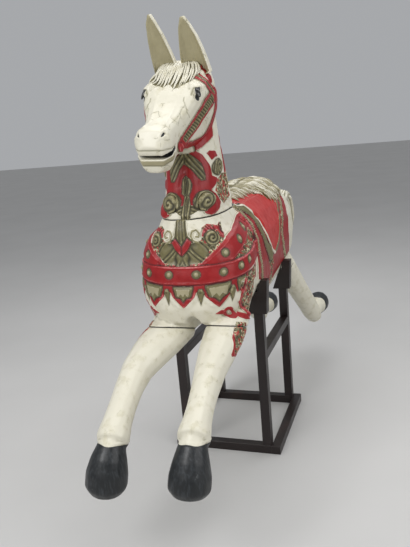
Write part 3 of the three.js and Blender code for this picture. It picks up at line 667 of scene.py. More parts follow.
def leafwork(chart, size):
    """Ridges that wander like carved leaves, as a height from -1 to 1."""
    across, up = chart.T
    bend = np.sin(up / (3.1 * size) + across / (4.3 * size)) + np.sin(across / (5.7 * size))
    return np.sin(across / size + bend * 2.5 + up / (1.9 * size) * np.sign(across))


def waves(distance, length):
    return np.cos(distance * 2 * math.pi / length)


def breast_chart(coat):
    return collar_chart(coat.place) - [BREAST_MIDDLE, 0]


def mask_breast(coat):
    coat.mask((coat.place[:, 1] < BREAST_BACK) & (coat.place[:, 2] < SEAM + 15))


def dress_breast(coat):
    chart = breast_chart(coat)
    fold = mirrored(chart)
    mask_breast(coat)
    ground = field(fold, [(0, 868), (60, 868), (95, 896), (130, 918), (158, 950), (172, 1000), (150, 990),
                          (107, 1000), (84, 990), (72, 953), (46, 946), (28, 962), (0, 1030)])
    coat.paint("mottled", ground)
    coat.paint("gold", field(fold, [(0, 868), (66, 878), (90, 905), (100, 930), (70, 948), (0, 935)]))
    coat.ridge(ground, leafwork(fold, 3.2), 1.4)
    bare = oval(fold, (57, 968), 24, 20)
    coat.leave_bare(bare)
    coat.level(bare)
    coat.raised("gold", stroke(fold, [(80, 946), (62, 944), (44, 952), (38, 968), (46, 983), (62, 985),
                                      (71, 973), (66, 962), (56, 964)], 6))
    stem = field(fold, [(0, 1030), (27, 1030), (24, 1000), (27, 968), (42, 950), (20, 935), (0, 925)])
    coat.level(stem)
    coat.ridge(stem, waves(chart[:, 0], 13), 0.6)
    coat.raised("gold", stem)
    heart = field(fold, [(0, 933), (23, 962), (40, 948), (25, 922), (0, 899)])
    coat.level(heart - 4)
    coat.bead(heart, 2.5, -1.2)
    coat.raised("red", heart, 3.5)


def dress_flowers(coat):
    fold = mirrored(breast_chart(coat))
    arc = stroke(fold, [(84, 966), (92, 980), (107, 988), (124, 982), (140, 984), (150, 972), (157, 962)], 13)
    tip = field(fold, [(140, 975), (163, 1000), (160, 948), (148, 955)])
    coat.paint("red", np.minimum(arc, tip))
    coat.carve(arc, slope=4)
    flower = oval(fold, (113, 954), 29, 25)
    coat.level(flower)
    coat.ridge(flower, spiral(fold, (113, 955), 13), 1.8)
    coat.raised("gold", flower, 4, 6)
    coat.bead(flower, 2.0, -1.2)


print("the breast folds", BREAST_MIDDLE, "mm to the horse's left of its middle")

# %% [markdown]
# The harness is flat leather in the carving: the straps and the band keep an even thickness, with a
# thin raised border a few millimetres inside each edge and a cut line along it. The scallops under
# the band are red shields with a gold heart of their own, and a gold drop hangs between each pair.
# %% Breast: straps, band and scallops
STRAP_TOP_EDGE = [(56, 870), (92, 900), (124, 923), (167, 950), (233, 973), (330, 996)]
STRAP_FOOT_EDGE = [(160, 866), (209, 893), (271, 918), (345, 960)]
STRAP_BORDER = 9
BAND_END = 405
STUDS = [(hand * s, z) for hand in (-1, 1) for s, z in
         ((45, 840), (130, 841), (199, 849), (253, 859), (142, 902), (217, 932), (290, 958))]
SCALLOPS = [(0, 47, 727), (113, 55, 724), (203, 36, 750), (272, 34, 758), (340, 34, 765)]
DROPS = (56, 160, 237)


def band_edges(fold):
    """The band rises a little as it runs back round the horse."""
    curve = (fold[:, 0] / 240) ** 2
    return 868 + 10 * curve, 805 + 15 * curve


def dress_straps(coat):
    fold = mirrored(breast_chart(coat))
    beyond = field(fold, [(160, 866), (209, 893), (271, 920), (345, 962), (372, 985), (410, 890), (380, 872)])
    coat.paint("mottled", beyond)
    coat.ridge(beyond, leafwork(fold, 4.5), 1.6)
    coat.mask(coat.open & (fold[:, 1] > band_edges(fold)[0] - 2))
    strap = field(fold, STRAP_TOP_EDGE + STRAP_FOOT_EDGE[::-1])
    coat.level(strap)
    coat.raised("red", strap, slope=2.5)
    for edge, inward in ((STRAP_TOP_EDGE, -STRAP_BORDER), (STRAP_FOOT_EDGE, STRAP_BORDER)):
        border = [(s - inward * 0.5, z + inward) for s, z in edge]
        coat.bead(line_distance(fold, border), 2.6, 1.6)
        coat.bead(line_distance(fold, edge), 2.2, 1.0)
    coat.raised("red", stroke(fold, [(338, 978), (364, 942), (404, 889)], 15))
    mask_breast(coat)


def scalloped(fold, shrink=0.0):
    """The hanging edge of the harness: pointed shields side by side under the band."""
    shape = np.full(len(fold), FAR_AWAY)
    for middle, width, foot in SCALLOPS:
        wide, low = width - shrink, foot + 1.5 * shrink
        half = [(wide, 815), (wide, 792), (0.76 * wide, 764), (0.3 * wide, low + 14)]
        left = [(middle - s, z) for s, z in half]
        right = [(middle + s, z) for s, z in half[::-1]]
        shape = np.minimum(shape, field(fold, left + [(middle, low)] + right))
    return shape


def dress_scallops(coat):
    fold = mirrored(breast_chart(coat))
    band_top, band_foot = band_edges(fold)
    upright = field(fold, [(0, 815), (0, 782), (205, 782), (300, 796), (380, 800), (380, 822)])
    shields = np.maximum(np.minimum(scalloped(fold), upright), fold[:, 1] - band_top)
    coat.level(shields)
    coat.raised("red", shields)
    hearts = np.maximum(scalloped(fold, 13), fold[:, 1] - band_foot + 4)
    coat.paint("gold", hearts)
    coat.carve(hearts + 6, 2.5, 6)
    coat.paint("tan", np.maximum(scalloped(fold, 25), fold[:, 1] - band_foot + 14))
    coat.bead(hearts, 2.6, -2.2)
    for middle in DROPS:
        drop = field(fold, [(middle - 12, 778), (middle - 6, 792), (middle + 6, 792), (middle + 12, 778),
                            (middle, 734)])
        coat.raised("gold", drop, 2.5)
        coat.bead(drop, 1.8, -1.0)


def dress_band(coat):
    fold = mirrored(breast_chart(coat))
    band_top, band_foot = band_edges(fold)
    over, under = fold[:, 1] - band_top, fold[:, 1] - band_foot
    band = np.maximum(np.maximum(over, -under), fold[:, 0] - BAND_END)
    coat.level(band)
    coat.raised("red", band, slope=2.5)
    for border in (over + 6, under - 6):
        coat.bead(np.where(band < 6, border, FAR_AWAY), 2.8, 1.4)
    for stud in STUDS:
        setting = oval(fold, stud, 14)
        coat.paint("gold", setting)
        coat.bead(setting, 2.2, -1.2)
    for edge in (over, under):
        coat.bead(np.where(fold[:, 0] < BAND_END, edge, FAR_AWAY), 1.8, -1.6)


print("harness:", len(STUDS), "studs,", 2 * len(SCALLOPS) - 1, "scallops,", 2 * len(DROPS), "drops")

# %% [markdown]
# Foliage runs from the band down the outside of the shoulder and a little way on to each foreleg, so
# the same drawing is laid over the body and over the leg, and a curled scroll hangs beside it.
# %% Shoulder foliage
SPRAY = [(222, 806), (345, 806), (330, 730), (290, 680), (235, 620), (196, 622), (206, 660), (196, 720)]
SPRAY_STEMS = (
    ([(222, 800), (206, 760), (196, 726)], 12),
    ([(196, 726), (212, 700), (206, 672), (190, 655)], 15),
    ([(206, 672), (222, 640), (224, 612)], 18),
)
LEG_PATCH = [(-292, 668), (-332, 645), (-346, 620), (-364, 597), (-382, 583), (-352, 572), (-316, 578),
             (-285, 592), (-255, 612), (-244, 650)]
LEG_PATCH_RIM = LEG_PATCH[:6]
OUTER_LEFT, OUTER_RIGHT = 166, -140
SHOULDER_BACK, SHOULDER_TOP = 40, 806


def dress_leg_patch(coat):
    """The end of the foliage, drawn as seen from the horse's side: y and z."""
    side_view = coat.place[:, 1:]
    coat.mask((coat.place[:, 0] > OUTER_LEFT) | (coat.place[:, 0] < OUTER_RIGHT))
    patch = field(side_view, LEG_PATCH)
    coat.paint("mottled", patch)
    coat.ridge(patch, leafwork(side_view, 4.0), 1.4)
    coat.raised("red", stroke(side_view, LEG_PATCH_RIM, 10), 2)


def dress_shoulder(coat):
    fold = mirrored(collar_chart(coat.place))
    low = (coat.place[:, 1] < SHOULDER_BACK) & (coat.place[:, 2] < SHOULDER_TOP)
    coat.mask(low)
    spray = field(fold, SPRAY)
    coat.paint("mottled", spray)
    coat.ridge(spray, leafwork(fold, 5.0), 1.8)
    for path, width in SPRAY_STEMS:
        coat.raised("red", stroke(fold, path, width), 2.5)
    dress_leg_patch(coat)
    coat.mask(low)
    ring = np.abs(oval(fold, (150, 696), 16)) - 6
    hook = field(fold, [(104, 699), (124, 712), (146, 708), (142, 690)])
    tail_leaf = field(fold, [(160, 678), (178, 692), (196, 676), (186, 648), (170, 660)])
    for shape in (ring, hook, tail_leaf):
        coat.raised("red", shape, 2.5)


print("shoulder foliage reaches down to", min(z for _, z in LEG_PATCH), "mm")

# %% [markdown]
# The barrel wears a crimson blanket with a beaded band near its front edge, a rolled olive edge to
# the saddle flap, the plain coral flap, and a second beaded band behind it. The side chart runs back
# along the horse and down from the backbone, so each edge is one line in it, given as millimetres
# back and degrees down.
# %% Saddle blanket and flap
DEGREE = SIDE_RADIUS * math.radians(1)
ROLL_LINE = [(15, 31), (62, 39), (84, 47), (88, 55), (98, 66), (110, 75), (135, 84), (162, 92)]
ROLL_TOP_EDGE = [(0, 29), (67, 36), (99, 48), (128, 59), (138, 71), (156, 80), (185, 87), (240, 93)]
COLUMN_LINE = [(162, 92), (180, 100), (222, 111), (293, 126)]
FLAP_REAR = [(556, 43), (513, 47), (469, 58), (399, 69), (371, 78), (331, 86), (298, 89), (240, 93)]
FRONT_BEADS = [(-6, 28), (18, 40), (26, 50), (20, 60), (12, 70), (8, 80), (12, 90), (40, 107)]
FRONT_EDGE = [(-14, 26), (-8, 41), (-16, 54), (-22, 67), (-24, 80), (-24, 92), (-20, 104)]
INNER_LINE = [(30, 33), (58, 44), (60, 55), (52, 66), (52, 76), (62, 88), (90, 99), (125, 113)]
REAR_BEADS = [(572, 47), (530, 58), (493, 67), (455, 77), (438, 86), (450, 97), (496, 111)]
REAR_EDGE = [(640, 44), (620, 61), (572, 73), (548, 86), (550, 98), (560, 108)]
LOW_EDGE = [(120, 114), (290, 127), (420, 120)]
FLEECE_EDGE = [(110, 14), (140, 20), (165, 15), (190, 22), (225, 16), (250, 22), (285, 16), (310, 24),
               (345, 17), (350, 31), (385, 24), (400, 35), (398, 46), (440, 36), (455, 49), (490, 40),
               (520, 50), (556, 44), (610, 46), (640, 40)]
FLEECE = FLEECE_EDGE + [(645, 0), (100, 0)]
ROLL_HEIGHT, ROLL_REACH = 9, 19
BARREL_FRONT, BARREL_FOOT = -70, 600


def on_barrel_chart(line, back=0):
    return [(y + back, turn * DEGREE) for y, turn in line]


def mask_barrel(coat):
    coat.mask((coat.place[:, 1] > BARREL_FRONT) & (coat.place[:, 2] > BARREL_FOOT))


def dress_blanket(coat):
    chart = side_chart(coat.place)
    mask_barrel(coat)
    rim = FRONT_EDGE + LOW_EDGE + REAR_EDGE[::-1] + [(650, 0), (-20, 0)]
    coat.raised("red", field(chart, on_barrel_chart(rim)), 2)
    coat.paint("mottled", stroke(chart, on_barrel_chart(FRONT_BEADS), 26))
    column = stroke(chart, on_barrel_chart(COLUMN_LINE), 26)
    coat.paint("mottled", column)
    coat.ridge(column, leafwork(chart, 4.0), 1.2)
    coat.paint("mottled", stroke(chart, on_barrel_chart(REAR_BEADS), 30))
    for line in (FRONT_EDGE, INNER_LINE, REAR_EDGE):
        coat.bead(line_distance(chart, on_barrel_chart(line)), 4, 2.0)
    for line, back in ((FRONT_BEADS, -15), (FRONT_BEADS, 15), (REAR_BEADS, -17), (REAR_BEADS, 17)):
        coat.bead(line_distance(chart, on_barrel_chart(line, back)), 2.5, -1.4)


def dress_flap(coat):
    chart = side_chart(coat.place)
    flap = field(chart, on_barrel_chart(ROLL_TOP_EDGE + FLAP_REAR[-2::-1] + [(560, 0), (0, 0)]))
    coat.level(flap)
    coat.raised("coral", flap, 2)
    coat.raised("gold", stroke(chart, on_barrel_chart(FLAP_REAR), 12))


def dress_roll(coat):
    chart = side_chart(coat.place)
    away = line_distance(chart, on_barrel_chart(ROLL_LINE))
    coat.level(away - 17)
    coat.paint("gold", away - 17)
    round_top = np.sqrt(np.clip(1 - (away / ROLL_REACH) ** 2, 0, 1))
    coat.lift += np.where(coat.open, ROLL_HEIGHT * round_top, 0)
    coat.bead(away - ROLL_REACH, 3, -2.0)
    cream = stroke(chart, on_barrel_chart(ROLL_TOP_EDGE), 7)
    coat.leave_bare(cream)
    coat.carve(cream, slope=2.5)
    coat.raised("gold", field(chart, on_barrel_chart(FLEECE)), 2, 4)


print("one degree down the barrel is", round(DEGREE, 2), "mm")

# %% [markdown]
# Thin dark lines mark where the horse's blocks were joined: round the foot of the neck and round the
# top of each leg. They are painted on both sides of each joint. A joint is a plane, held as a point
# on it and its normal.
# %% Joint lines, and the body's coat
LEG_JOINTS = {
    "foreleg_right": ((-84, -240, 622), (0, -0.335, -0.942)),
    "foreleg_left": ((121, -238, 632), (0, -0.335, -0.942)),
    "hindleg_right": ((-122, 605, 655), (0, 0.6, -0.8)),
    "hindleg_left": ((152, 605, 655), (0.15, 0.6, -0.78)),
}
JOINT_LINE = 1.8
JOINT_REACH = 115
NECK_FOOT_Y, NECK_FOOT_REACH = -90, 215


def past_plane(coat, point, normal):
    return (coat.place - point) @ (np.asarray(normal) / np.linalg.norm(normal))


def mark_joint(coat, leg):
    point, normal = LEG_JOINTS[leg]
    coat.mask(np.linalg.norm(coat.place - point, axis=1) < JOINT_REACH)
    coat.paint("black", np.abs(past_plane(coat, point, normal)) - JOINT_LINE)


body = carved_copy("body", grid=0.0036, rubs=26)
body_coat = Coat(body)
for dress in (dress_breast, dress_flowers, dress_straps, dress_scallops, dress_band, dress_shoulder,
              dress_blanket, dress_flap, dress_roll):
    dress(body_coat)
for leg in LEG_JOINTS:
    mark_joint(body_coat, leg)
neck_foot = np.hypot(body_coat.place[:, 0], body_coat.place[:, 1] - NECK_FOOT_Y)
body_coat.mask(neck_foot < NECK_FOOT_REACH)
body_coat.paint("black", np.abs(body_coat.place[:, 2] - SEAM) - JOINT_LINE)
body_coat.finish(old_paint)
print("deepest cut", body_coat.lift.min().round(1), "mm, highest", body_coat.lift.max().round(1), "mm")

# %% [markdown]
# The front of the neck carries a pointed arch with a lily in it: a fluted stem, a leaf, and a shell
# on either side. Smaller shells climb the sides. Head and neck are one carved solid here, so the
# head's own section decides which of the two a point belongs to.
# %% Neck
STEM_SHIFT_HEIGHTS = [1020, 1070, 1091, 1100, 1132, 1159, 1194, 1236]
STEM_SHIFT = [28, 28, 24, 17, 16, 10, 2, 0]
HEAD_SKIN = 1.45


def outside_head_at(coat):
    return outside_head(*head_chart(coat.place))


def dress_neck(coat):
    chart = collar_chart(coat.place)
    coat.mask((outside_head_at(coat) > HEAD_SKIN) & (coat.place[:, 2] < 1400))
    stem_shift = np.interp(chart[:, 1], STEM_SHIFT_HEIGHTS, STEM_SHIFT)
    fold = np.stack([np.abs(chart[:, 0] - stem_shift), chart[:, 1]], 1)
    coat.raised("red", field(fold, [(0, 1258), (22, 1252), (66, 1225), (92, 1190), (100, 1151), (130, 1141),
                                    (118, 1119), (100, 1105), (135, 1080), (165, 1056), (160, 1038),
                                    (140, 1028), (112, 1025), (86, 1033), (72, 1048), (30, 1061), (0, 1062)]))
    lobe = field(fold, [(0, 1240), (34, 1222), (61, 1196), (70, 1158), (70, 1140), (53, 1140), (37, 1158),
                        (22, 1180), (0, 1200)])
    coat.paint("gold", lobe)
    coat.ridge(lobe, waves(fold[:, 0] + 0.8 * fold[:, 1], 17), 1.2)
    coat.bead(lobe, 2, -1.5)
    leaf = field(fold, [(0, 1160), (13, 1148), (20, 1128), (18, 1104), (9, 1092), (12, 1074), (20, 1050),
                        (23, 1012), (0, 1012)])
    coat.ridge(leaf, waves(fold[:, 0], 11), 1.2)
    coat.raised("gold", leaf, slope=4)
    coat.bead(leaf, 2, -1.5)
    shell = oval(fold, (68, 1075), 44, 31)
    coat.raised("gold", shell, 5, 9)
    coat.ridge(shell, spiral(fold, (76, 1070), 15), 2.0)
    coat.bead(shell, 2.5, -2)
    foot = field(fold, [(14, 1064), (60, 1058), (84, 1046), (88, 1040), (56, 1046), (24, 1034)])
    coat.paint("gold", foot)
    coat.ridge(foot, waves(fold[:, 1] + 0.3 * fold[:, 0], 10), 1.2)


def dress_neck_sides(coat):
    side = mirrored(collar_chart(coat.place))
    coat.raised("red", field(side, [(82, 1228), (96, 1236), (133, 1232), (150, 1214), (127, 1211),
                                    (106, 1203)]), 2.5)
    high = oval(side, (155, 1177), 48, 29)
    coat.raised("gold", high, 4, 8)
    coat.ridge(high, spiral(side, (163, 1174), 15), 2.0)
    coat.bead(high, 2.5, -2)
    mixed = field(side, [(145, 1136), (190, 1152), (250, 1150), (285, 1110), (290, 1062), (225, 1046),
                         (186, 1066), (140, 1100)])
    coat.paint("mottled", mixed)
    coat.ridge(mixed, leafwork(side, 5.5), 1.8)
    coat.paint("red", field(side, [(190, 1335), (235, 1335), (262, 1150), (226, 1150)]))
    mane = field(side, [(237, 1050), (330, 1050), (330, 1480), (217, 1480), (222, 1250)])
    coat.ridge(mane, waves(side[:, 1] * 0.45 + side[:, 0], 17), 2.6)


print("the lily's stem leans", STEM_SHIFT[0] - STEM_SHIFT[-1], "mm")

# %% [markdown]
# The head wears a plain bridle: a brow strap, a broad braided cheek strap on each side, and a throat
# strap, all flat crimson leather with a thin raised edge. Its lines are drawn on a chart of the head:
# millimetres along the nose, and round from the nose's ridge.
# %% Bridle
TURN_RADIUS = 85
TEMPLE = 50.5
BROW_STRAP = [(88, -116), (113, -89), (118, -67), (107, -49), (100, -25), (99, 0), (100, 25), (107, 49),
              (118, 67), (113, 89), (88, 116), (104, 124)]
CHEEK_STRAP = [(70, 126), (112, 124), (168, 126), (216, 139), (255, 160), (302, 182), (334, 194)]
THROAT_STRAP = [(30, 150), (58, 157), (93, 175), (126, 194), (156, 205), (191, 218), (246, 220), (312, 205)]
FORELOCK_TIPS = [(128, 56), (166, 52), (184, 40), (201, 31), (210, 15), (196, 3), (182, -10),
                 (203, -22), (192, -32), (186, -42), (181, -53), (167, -64), (140, -74)]
FORELOCK_TOP = [(36, 50), (36, -66)]


def turn_chart(place):
    along, across, up = head_chart(place)
    return np.stack([along, np.arctan2(across, up - 12) * TURN_RADIUS], 1)


def folded(chart):
    return np.stack([chart[:, 0], np.abs(chart[:, 1])], 1)


def dress_bridle(coat):
    chart = turn_chart(coat.place)
    fold = folded(chart)
    coat.mask((outside_head_at(coat) < HEAD_SKIN) & (chart[:, 0] > -50))
    brow = stroke(chart, BROW_STRAP, 32)
    for shape in (stroke(fold, THROAT_STRAP, 24), stroke(fold, CHEEK_STRAP, 37), brow):
        coat.level(shape)
        coat.raised("red", shape, slope=2.5)
        coat.bead(shape + 3, 1.8, 1.0)
        coat.bead(shape - 1, 2.0, -1.6)
    braid = np.minimum(stroke(fold, CHEEK_STRAP[1:-1], 20), stroke(chart, BROW_STRAP[:-1], 11))
    coat.paint("gold", braid)
    coat.ridge(braid, waves(fold[:, 0] + 0.7 * fold[:, 1], 13), 1.4)
    poll = stroke(fold, [(52, 62), (76, 84)], 26)
    coat.paint("red", np.maximum(poll, TEMPLE - fold[:, 1]))
    coat.raised("red", oval(fold, (337, 200), 13), 5, 4)
    under_hair = [(tip - 10, turn) for tip, turn in FORELOCK_TIPS[::-1]]
    coat.paint("gold", field(chart, FORELOCK_TOP[1:] + under_hair + FORELOCK_TOP[:1]))


print("the forelock hangs", max(tip for tip, _ in FORELOCK_TIPS), "mm down the nose")

# %% [markdown]
# The eye sits in a shallow socket between carved lids. The mouth is a dark slot over a tan plate,
# with lip lines above and below it, the nostrils are small dark pits, and hair-thin cracks run over
# the cheek.
# %% Face
CHEEK_CRACKS = (
    [(228, 60), (240, 64), (250, 77), (268, 76), (283, 81), (306, 84), (331, 80)],
    [(283, 81), (296, 94), (311, 100), (322, 112)],
    [(250, 77), (262, 98), (258, 120)],
    [(331, 80), (352, 74), (368, 80)],
    [(150, 96), (166, 108), (190, 112)],
)


def dress_mouth(coat, along, up):
    slot = np.maximum(np.abs(up + 17 - 0.04 * (along - 420)) - 5.5, 372 - along)
    coat.raised("black", slot, -4)
    upper_lip = np.abs(up - np.interp(along, [380, 425, 451], [-10, 2, 9]))
    coat.bead(np.maximum(upper_lip, 372 - along), 2.0, -1.8)
    lower_lip = np.abs(up + np.interp(along, [380, 451], [36, 43]))
    coat.bead(np.maximum(lower_lip, 385 - along), 2.0, -1.8)
    coat.paint("tan", np.maximum(np.abs(up + 34) - 8, 392 - along))


def dress_face(coat):
    along, _, up = head_chart(coat.place)
    fold = folded(turn_chart(coat.place))
    coat.mask((outside_head_at(coat) < HEAD_SKIN) & (along > 60))
    coat.carve(oval(fold, (196, 82), 34, 24), -3.0, 12)
    coat.bead(oval(fold, (196, 82), 21, 18), 4.0, 1.8)
    coat.bead(line_distance(fold, [(172, 82), (180, 70), (196, 66), (212, 72)]), 2.0, -0.9)
    coat.paint("black", stroke(fold, [(187, 75), (203, 89)], 17))
    dress_mouth(coat, along, up)
    coat.raised("black", oval(fold, (419, 74), 8.5, 6), -3)
    coat.bead(oval(fold, (414, 74), 17, 13), 4, 1.8)
    coat.bead(line_distance(fold, [(228, 40), (300, 52), (385, 52)]), 8, 1.8)
    for crack in CHEEK_CRACKS:
        coat.bead(line_distance(fold, crack), 1.1, -0.7)


neck = carved_copy("neck_and_head", grid=0.0030, rubs=11)
neck_coat = Coat(neck)
for dress in (dress_neck, dress_neck_sides, dress_bridle, dress_face):
    dress(neck_coat)
neck_coat.mask(True)
neck_coat.paint("black", np.abs(neck_coat.place[:, 2] - SEAM) - JOINT_LINE)
neck_coat.finish(old_paint)
print("neck and head points", len(neck_coat.place))

# %% [markdown]
# The legs are plain ivory, with black hooves below a cut ledge. Each hoof's edge is a plane too.
# %% Legs and hooves
HOOVES = {
    "foreleg_right": ((-134, -688, 405), (-0.05, -0.32, -0.95)),
    "foreleg_left": ((130, -682, 431), (0.02, -0.28, -0.96)),
    "hindleg_right": ((-55, 1054, 309), (0, 1, 0.03)),
    "hindleg_left": ((235, 1054, 309), (0, 1, 0.03)),
}
LEDGE, LEDGE_RING = 2.0, 6


def dress_leg(name):
    leg = carved_copy(name, grid=0.0036, rubs=26)
    coat = Coat(leg)
    if name.startswith("fore"):
        dress_shoulder(coat)
    mark_joint(coat, name)
    coat.mask(True)
    beyond = past_plane(coat, *HOOVES[name])
    uneven = beyond + 2 * np.sin(coat.place[:, 0] / 9)
    coat.carve(-beyond, LEDGE, 2.0)
    coat.bead(uneven + LEDGE_RING, 4, 2.0)
    coat.paint("black", -uneven)
    coat.finish(old_paint)
    return leg


legs = [dress_leg(name) for name in HOOVES]

# %% [markdown]
# Each ear is tan inside, with an ivory rim only along the edge towards the horse's left; the tan also
# covers the edge towards the horse's right as painted shade on that side. The tail's hair is cut as
# long grooves.
# %% Ears and tail
EAR_STOREY, EAR_LIT_RIM, EAR_FACING = 6.0, 9.0, 0.35


def dress_ear(name):
    ear = carved_copy(name, grid=0.0024, rubs=4)
    coat = Coat(ear)
    across, _, height = coat.place.T
    storey = ((height - height.min()) / EAR_STOREY).astype(int)
    rim = np.full(storey.max() + 1, -math.inf)
    np.maximum.at(rim, storey, across)
    coat.mask(normals_of(ear)[:, 1] < EAR_FACING)
    # Tan up to an ivory rim on the horse's left edge; over the right edge the tan is painted shade.
    coat.paint("tan", across - rim[storey] + EAR_LIT_RIM)
    coat.finish(old_paint)
    return ear


def dress_tail():
    tail = carved_copy("tail", grid=0.0036, rubs=5)
    coat = Coat(tail)
    everywhere = np.full(len(coat.place), -3.0)
    coat.ridge(everywhere, waves(coat.place[:, 0], 13), 1.5)
    coat.finish(old_paint)
    return tail


horse = [body, neck] + legs + [dress_ear("ear_left"), dress_ear("ear_right"), dress_tail()]
for piece in horse:
    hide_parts(piece.name.replace("_carved", ""))
print("carved pieces", [piece.name for piece in horse])

# %% [markdown]
# The small repeated carvings are instances: a row of studs or beads is one low dome on many points,
# each turned to stand out of the wood. A chart place is found on a carved piece as its nearest
# carved point, which is never more than about two millimetres away.
# %% Places on a carved piece


def spots_on(piece, chart, allowed, spots):
    """The model places and outward directions of chart places on a piece."""
    kept = np.flatnonzero(allowed)
    tree = KDTree(len(kept))
    for index, row in enumerate(kept):
        tree.insert((chart[row, 0], chart[row, 1], 0), index)
    tree.balance()
    rows = [kept[tree.find((a, b, 0))[1]] for a, b in spots]
    return points_of(piece)[rows], normals_of(piece)[rows]


def along_line(path, pitch):
    """Places every pitch along a path."""
    path = np.asarray(path, float)
    reach = np.concatenate([[0], np.cumsum(np.linalg.norm(np.diff(path, axis=0), axis=1))])
    steps = np.arange(pitch / 2, reach[-1], pitch)
    return np.stack([np.interp(steps, reach, path[:, 0]), np.interp(steps, reach, path[:, 1])], 1)


print("beads 8 mm apart in 100 mm:", len(along_line([(0, 0), (100, 0)], 8)))

# %% [markdown]
# Geometry Nodes grow what repeats. Both trees begin and end alike: named inputs for their sizes and
# material, then real faces, smooth shading and the material. The result is kept as a plain mesh.
# %% Trees that grow a mesh


def new_group(name, numbers):
    tree = bpy.data.node_groups.new(name, "GeometryNodeTree")
    wanted = [("Geometry", "NodeSocketGeometry")] + [(label, "NodeSocketFloat") for label in numbers]
    for label, kind in wanted + [("Material", "NodeSocketMaterial")]:
        tree.interface.new_socket(label, in_out="INPUT", socket_type=kind)
    tree.interface.new_socket("Geometry", in_out="OUTPUT", socket_type="NodeSocketGeometry")
    return tree, tree.nodes.new("NodeGroupInput").outputs


def close_group(tree, geometry, inputs):
    real = add(tree, "GeometryNodeRealizeInstances", {"Geometry": geometry}).outputs[0]
    smooth = add(tree, "GeometryNodeSetShadeSmooth", {0: real}).outputs[0]
    finish = add(tree, "GeometryNodeSetMaterial", {"Geometry": smooth, "Material": inputs["Material"]})
    tree.links.new(finish.outputs[0], tree.nodes.new("NodeGroupOutput").inputs[0])
    return tree


def grown(name, mesh, tree, sizes):
    """Runs a tree on a mesh with the given sizes, and keeps the result as a plain mesh."""
    seed = bpy.data.objects.new(name + "_seed", mesh)
    bpy.context.collection.objects.link(seed)
    modifier = seed.modifiers.new("grow", "NODES")
    modifier.node_group = tree
    for item in tree.interface.items_tree:
        if item.in_out == "INPUT" and item.name in sizes:
            modifier[item.identifier] = sizes[item.name]
    evaluated = seed.evaluated_get(bpy.context.evaluated_depsgraph_get())
    result = bpy.data.objects.new(name, bpy.data.meshes.new_from_object(evaluated))
    bpy.data.objects.remove(seed)
    bpy.context.collection.objects.link(result)
    print(name, len(result.data.polygons), "faces")
    return result


# %% [markdown]
# A stud or a bead is a flattened ball half sunk in the wood, with 12 segments and 6 rings, because
# it is repeated hundreds of times.
# %% Domes on points


def dome_group():
    tree, inputs = new_group("domes_on_points", ["Radius", "Height"])
    ball = add(tree, "GeometryNodeMeshUVSphere", {"Segments": 12, "Rings": 6, "Radius": 1.0}).outputs[0]
    facing = add(tree, "GeometryNodeInputNamedAttribute", {"Name": "facing"}, data_type="FLOAT_VECTOR")
    turned = add(tree, "FunctionNodeAlignRotationToVector", {"Vector": facing.outputs[0]}, axis="Z")
    radius = inputs["Radius"]
    size = add(tree, "ShaderNodeCombineXYZ", {0: radius, 1: radius, 2: inputs["Height"]}).outputs[0]
    domes = add(tree, "GeometryNodeInstanceOnPoints", {
        "Points": inputs["Geometry"], "Instance": ball, "Rotation": turned.outputs[0], "Scale": size})
    return close_group(tree, domes.outputs[0], inputs)


DOMES = dome_group()
print(DOMES.name, len(DOMES.nodes), "nodes")


def tan_domes(name, places, facings, radius, height):
    mesh = bpy.data.meshes.new(name)
    mesh.from_pydata(places.tolist(), [], [])
    mesh.attributes.new("facing", "FLOAT_VECTOR", "POINT").data.foreach_set("vector", facings.ravel())
    sizes = {"Radius": radius * MM, "Height": height * MM, "Material": old_paint}
    piece = grown(name, mesh, DOMES, sizes)
    tan = piece.data.attributes.new("tan", "FLOAT", "POINT")
    tan.data.foreach_set("value", np.ones(len(piece.data.vertices), np.float32))
    return piece


# %% [markdown]
# Tan studs of 8 mm radius stand on the band and the shoulder straps. The two beaded bands of the
# blanket hold fine beads in three staggered rows, 8 mm apart.
# %% Studs and beads
STUD_RADIUS, STUD_HEIGHT = 8, 4.5
BEAD_PITCH, BEAD_RADIUS, BEAD_HEIGHT = 8.0, 3.4, 3.0
BEAD_ROWS = (-7.5, 0, 7.5)
front_of_body = (body_coat.place[:, 1] < BREAST_BACK) & (body_coat.place[:, 2] < SEAM)
stud_places = spots_on(body, breast_chart(body_coat), front_of_body, STUDS)
studs = tan_domes("harness_studs", *stud_places, STUD_RADIUS, STUD_HEIGHT)

body_side = side_chart(body_coat.place)
bead_spots = []
for line in (FRONT_BEADS, REAR_BEADS):
    for row, back in enumerate(BEAD_ROWS):
        spots = along_line(on_barrel_chart(line, back), BEAD_PITCH)
        bead_spots.extend(spots + [0, BEAD_PITCH / 2 * (row % 2)])


def on_barrel_hand(hand, foot, slack=0):
    """Which of the body's points lie on one side of the barrel, above a height."""
    across, back, height = body_coat.place.T
    return (across * hand > -slack) & (back > -90) & (height > foot)


both_hands = [spots_on(body, body_side, on_barrel_hand(hand, 600), bead_spots) for hand in (-1, 1)]
bead_places, bead_facings = (np.concatenate(rows) for rows in zip(*both_hands))
beads = tan_domes("blanket_beads", bead_places, bead_facings, BEAD_RADIUS, BEAD_HEIGHT)

# %% [markdown]
# Carved hair and fleece are bundles of tapered locks. Each lock is a line laid on the wood that a
# tree turns into a round, tapering strand, so the same tree makes the forelock and the saddle's
# fleece. Six sides are enough for a strand a few millimetres thick.
# %% Locks along lines
LOCK_TAPER = [0.55, 0.85, 1.0, 1.0, 0.85, 0.6, 0.15]
LOCK_STEPS = len(LOCK_TAPER)
STEPS = np.linspace(0, 1, LOCK_STEPS)


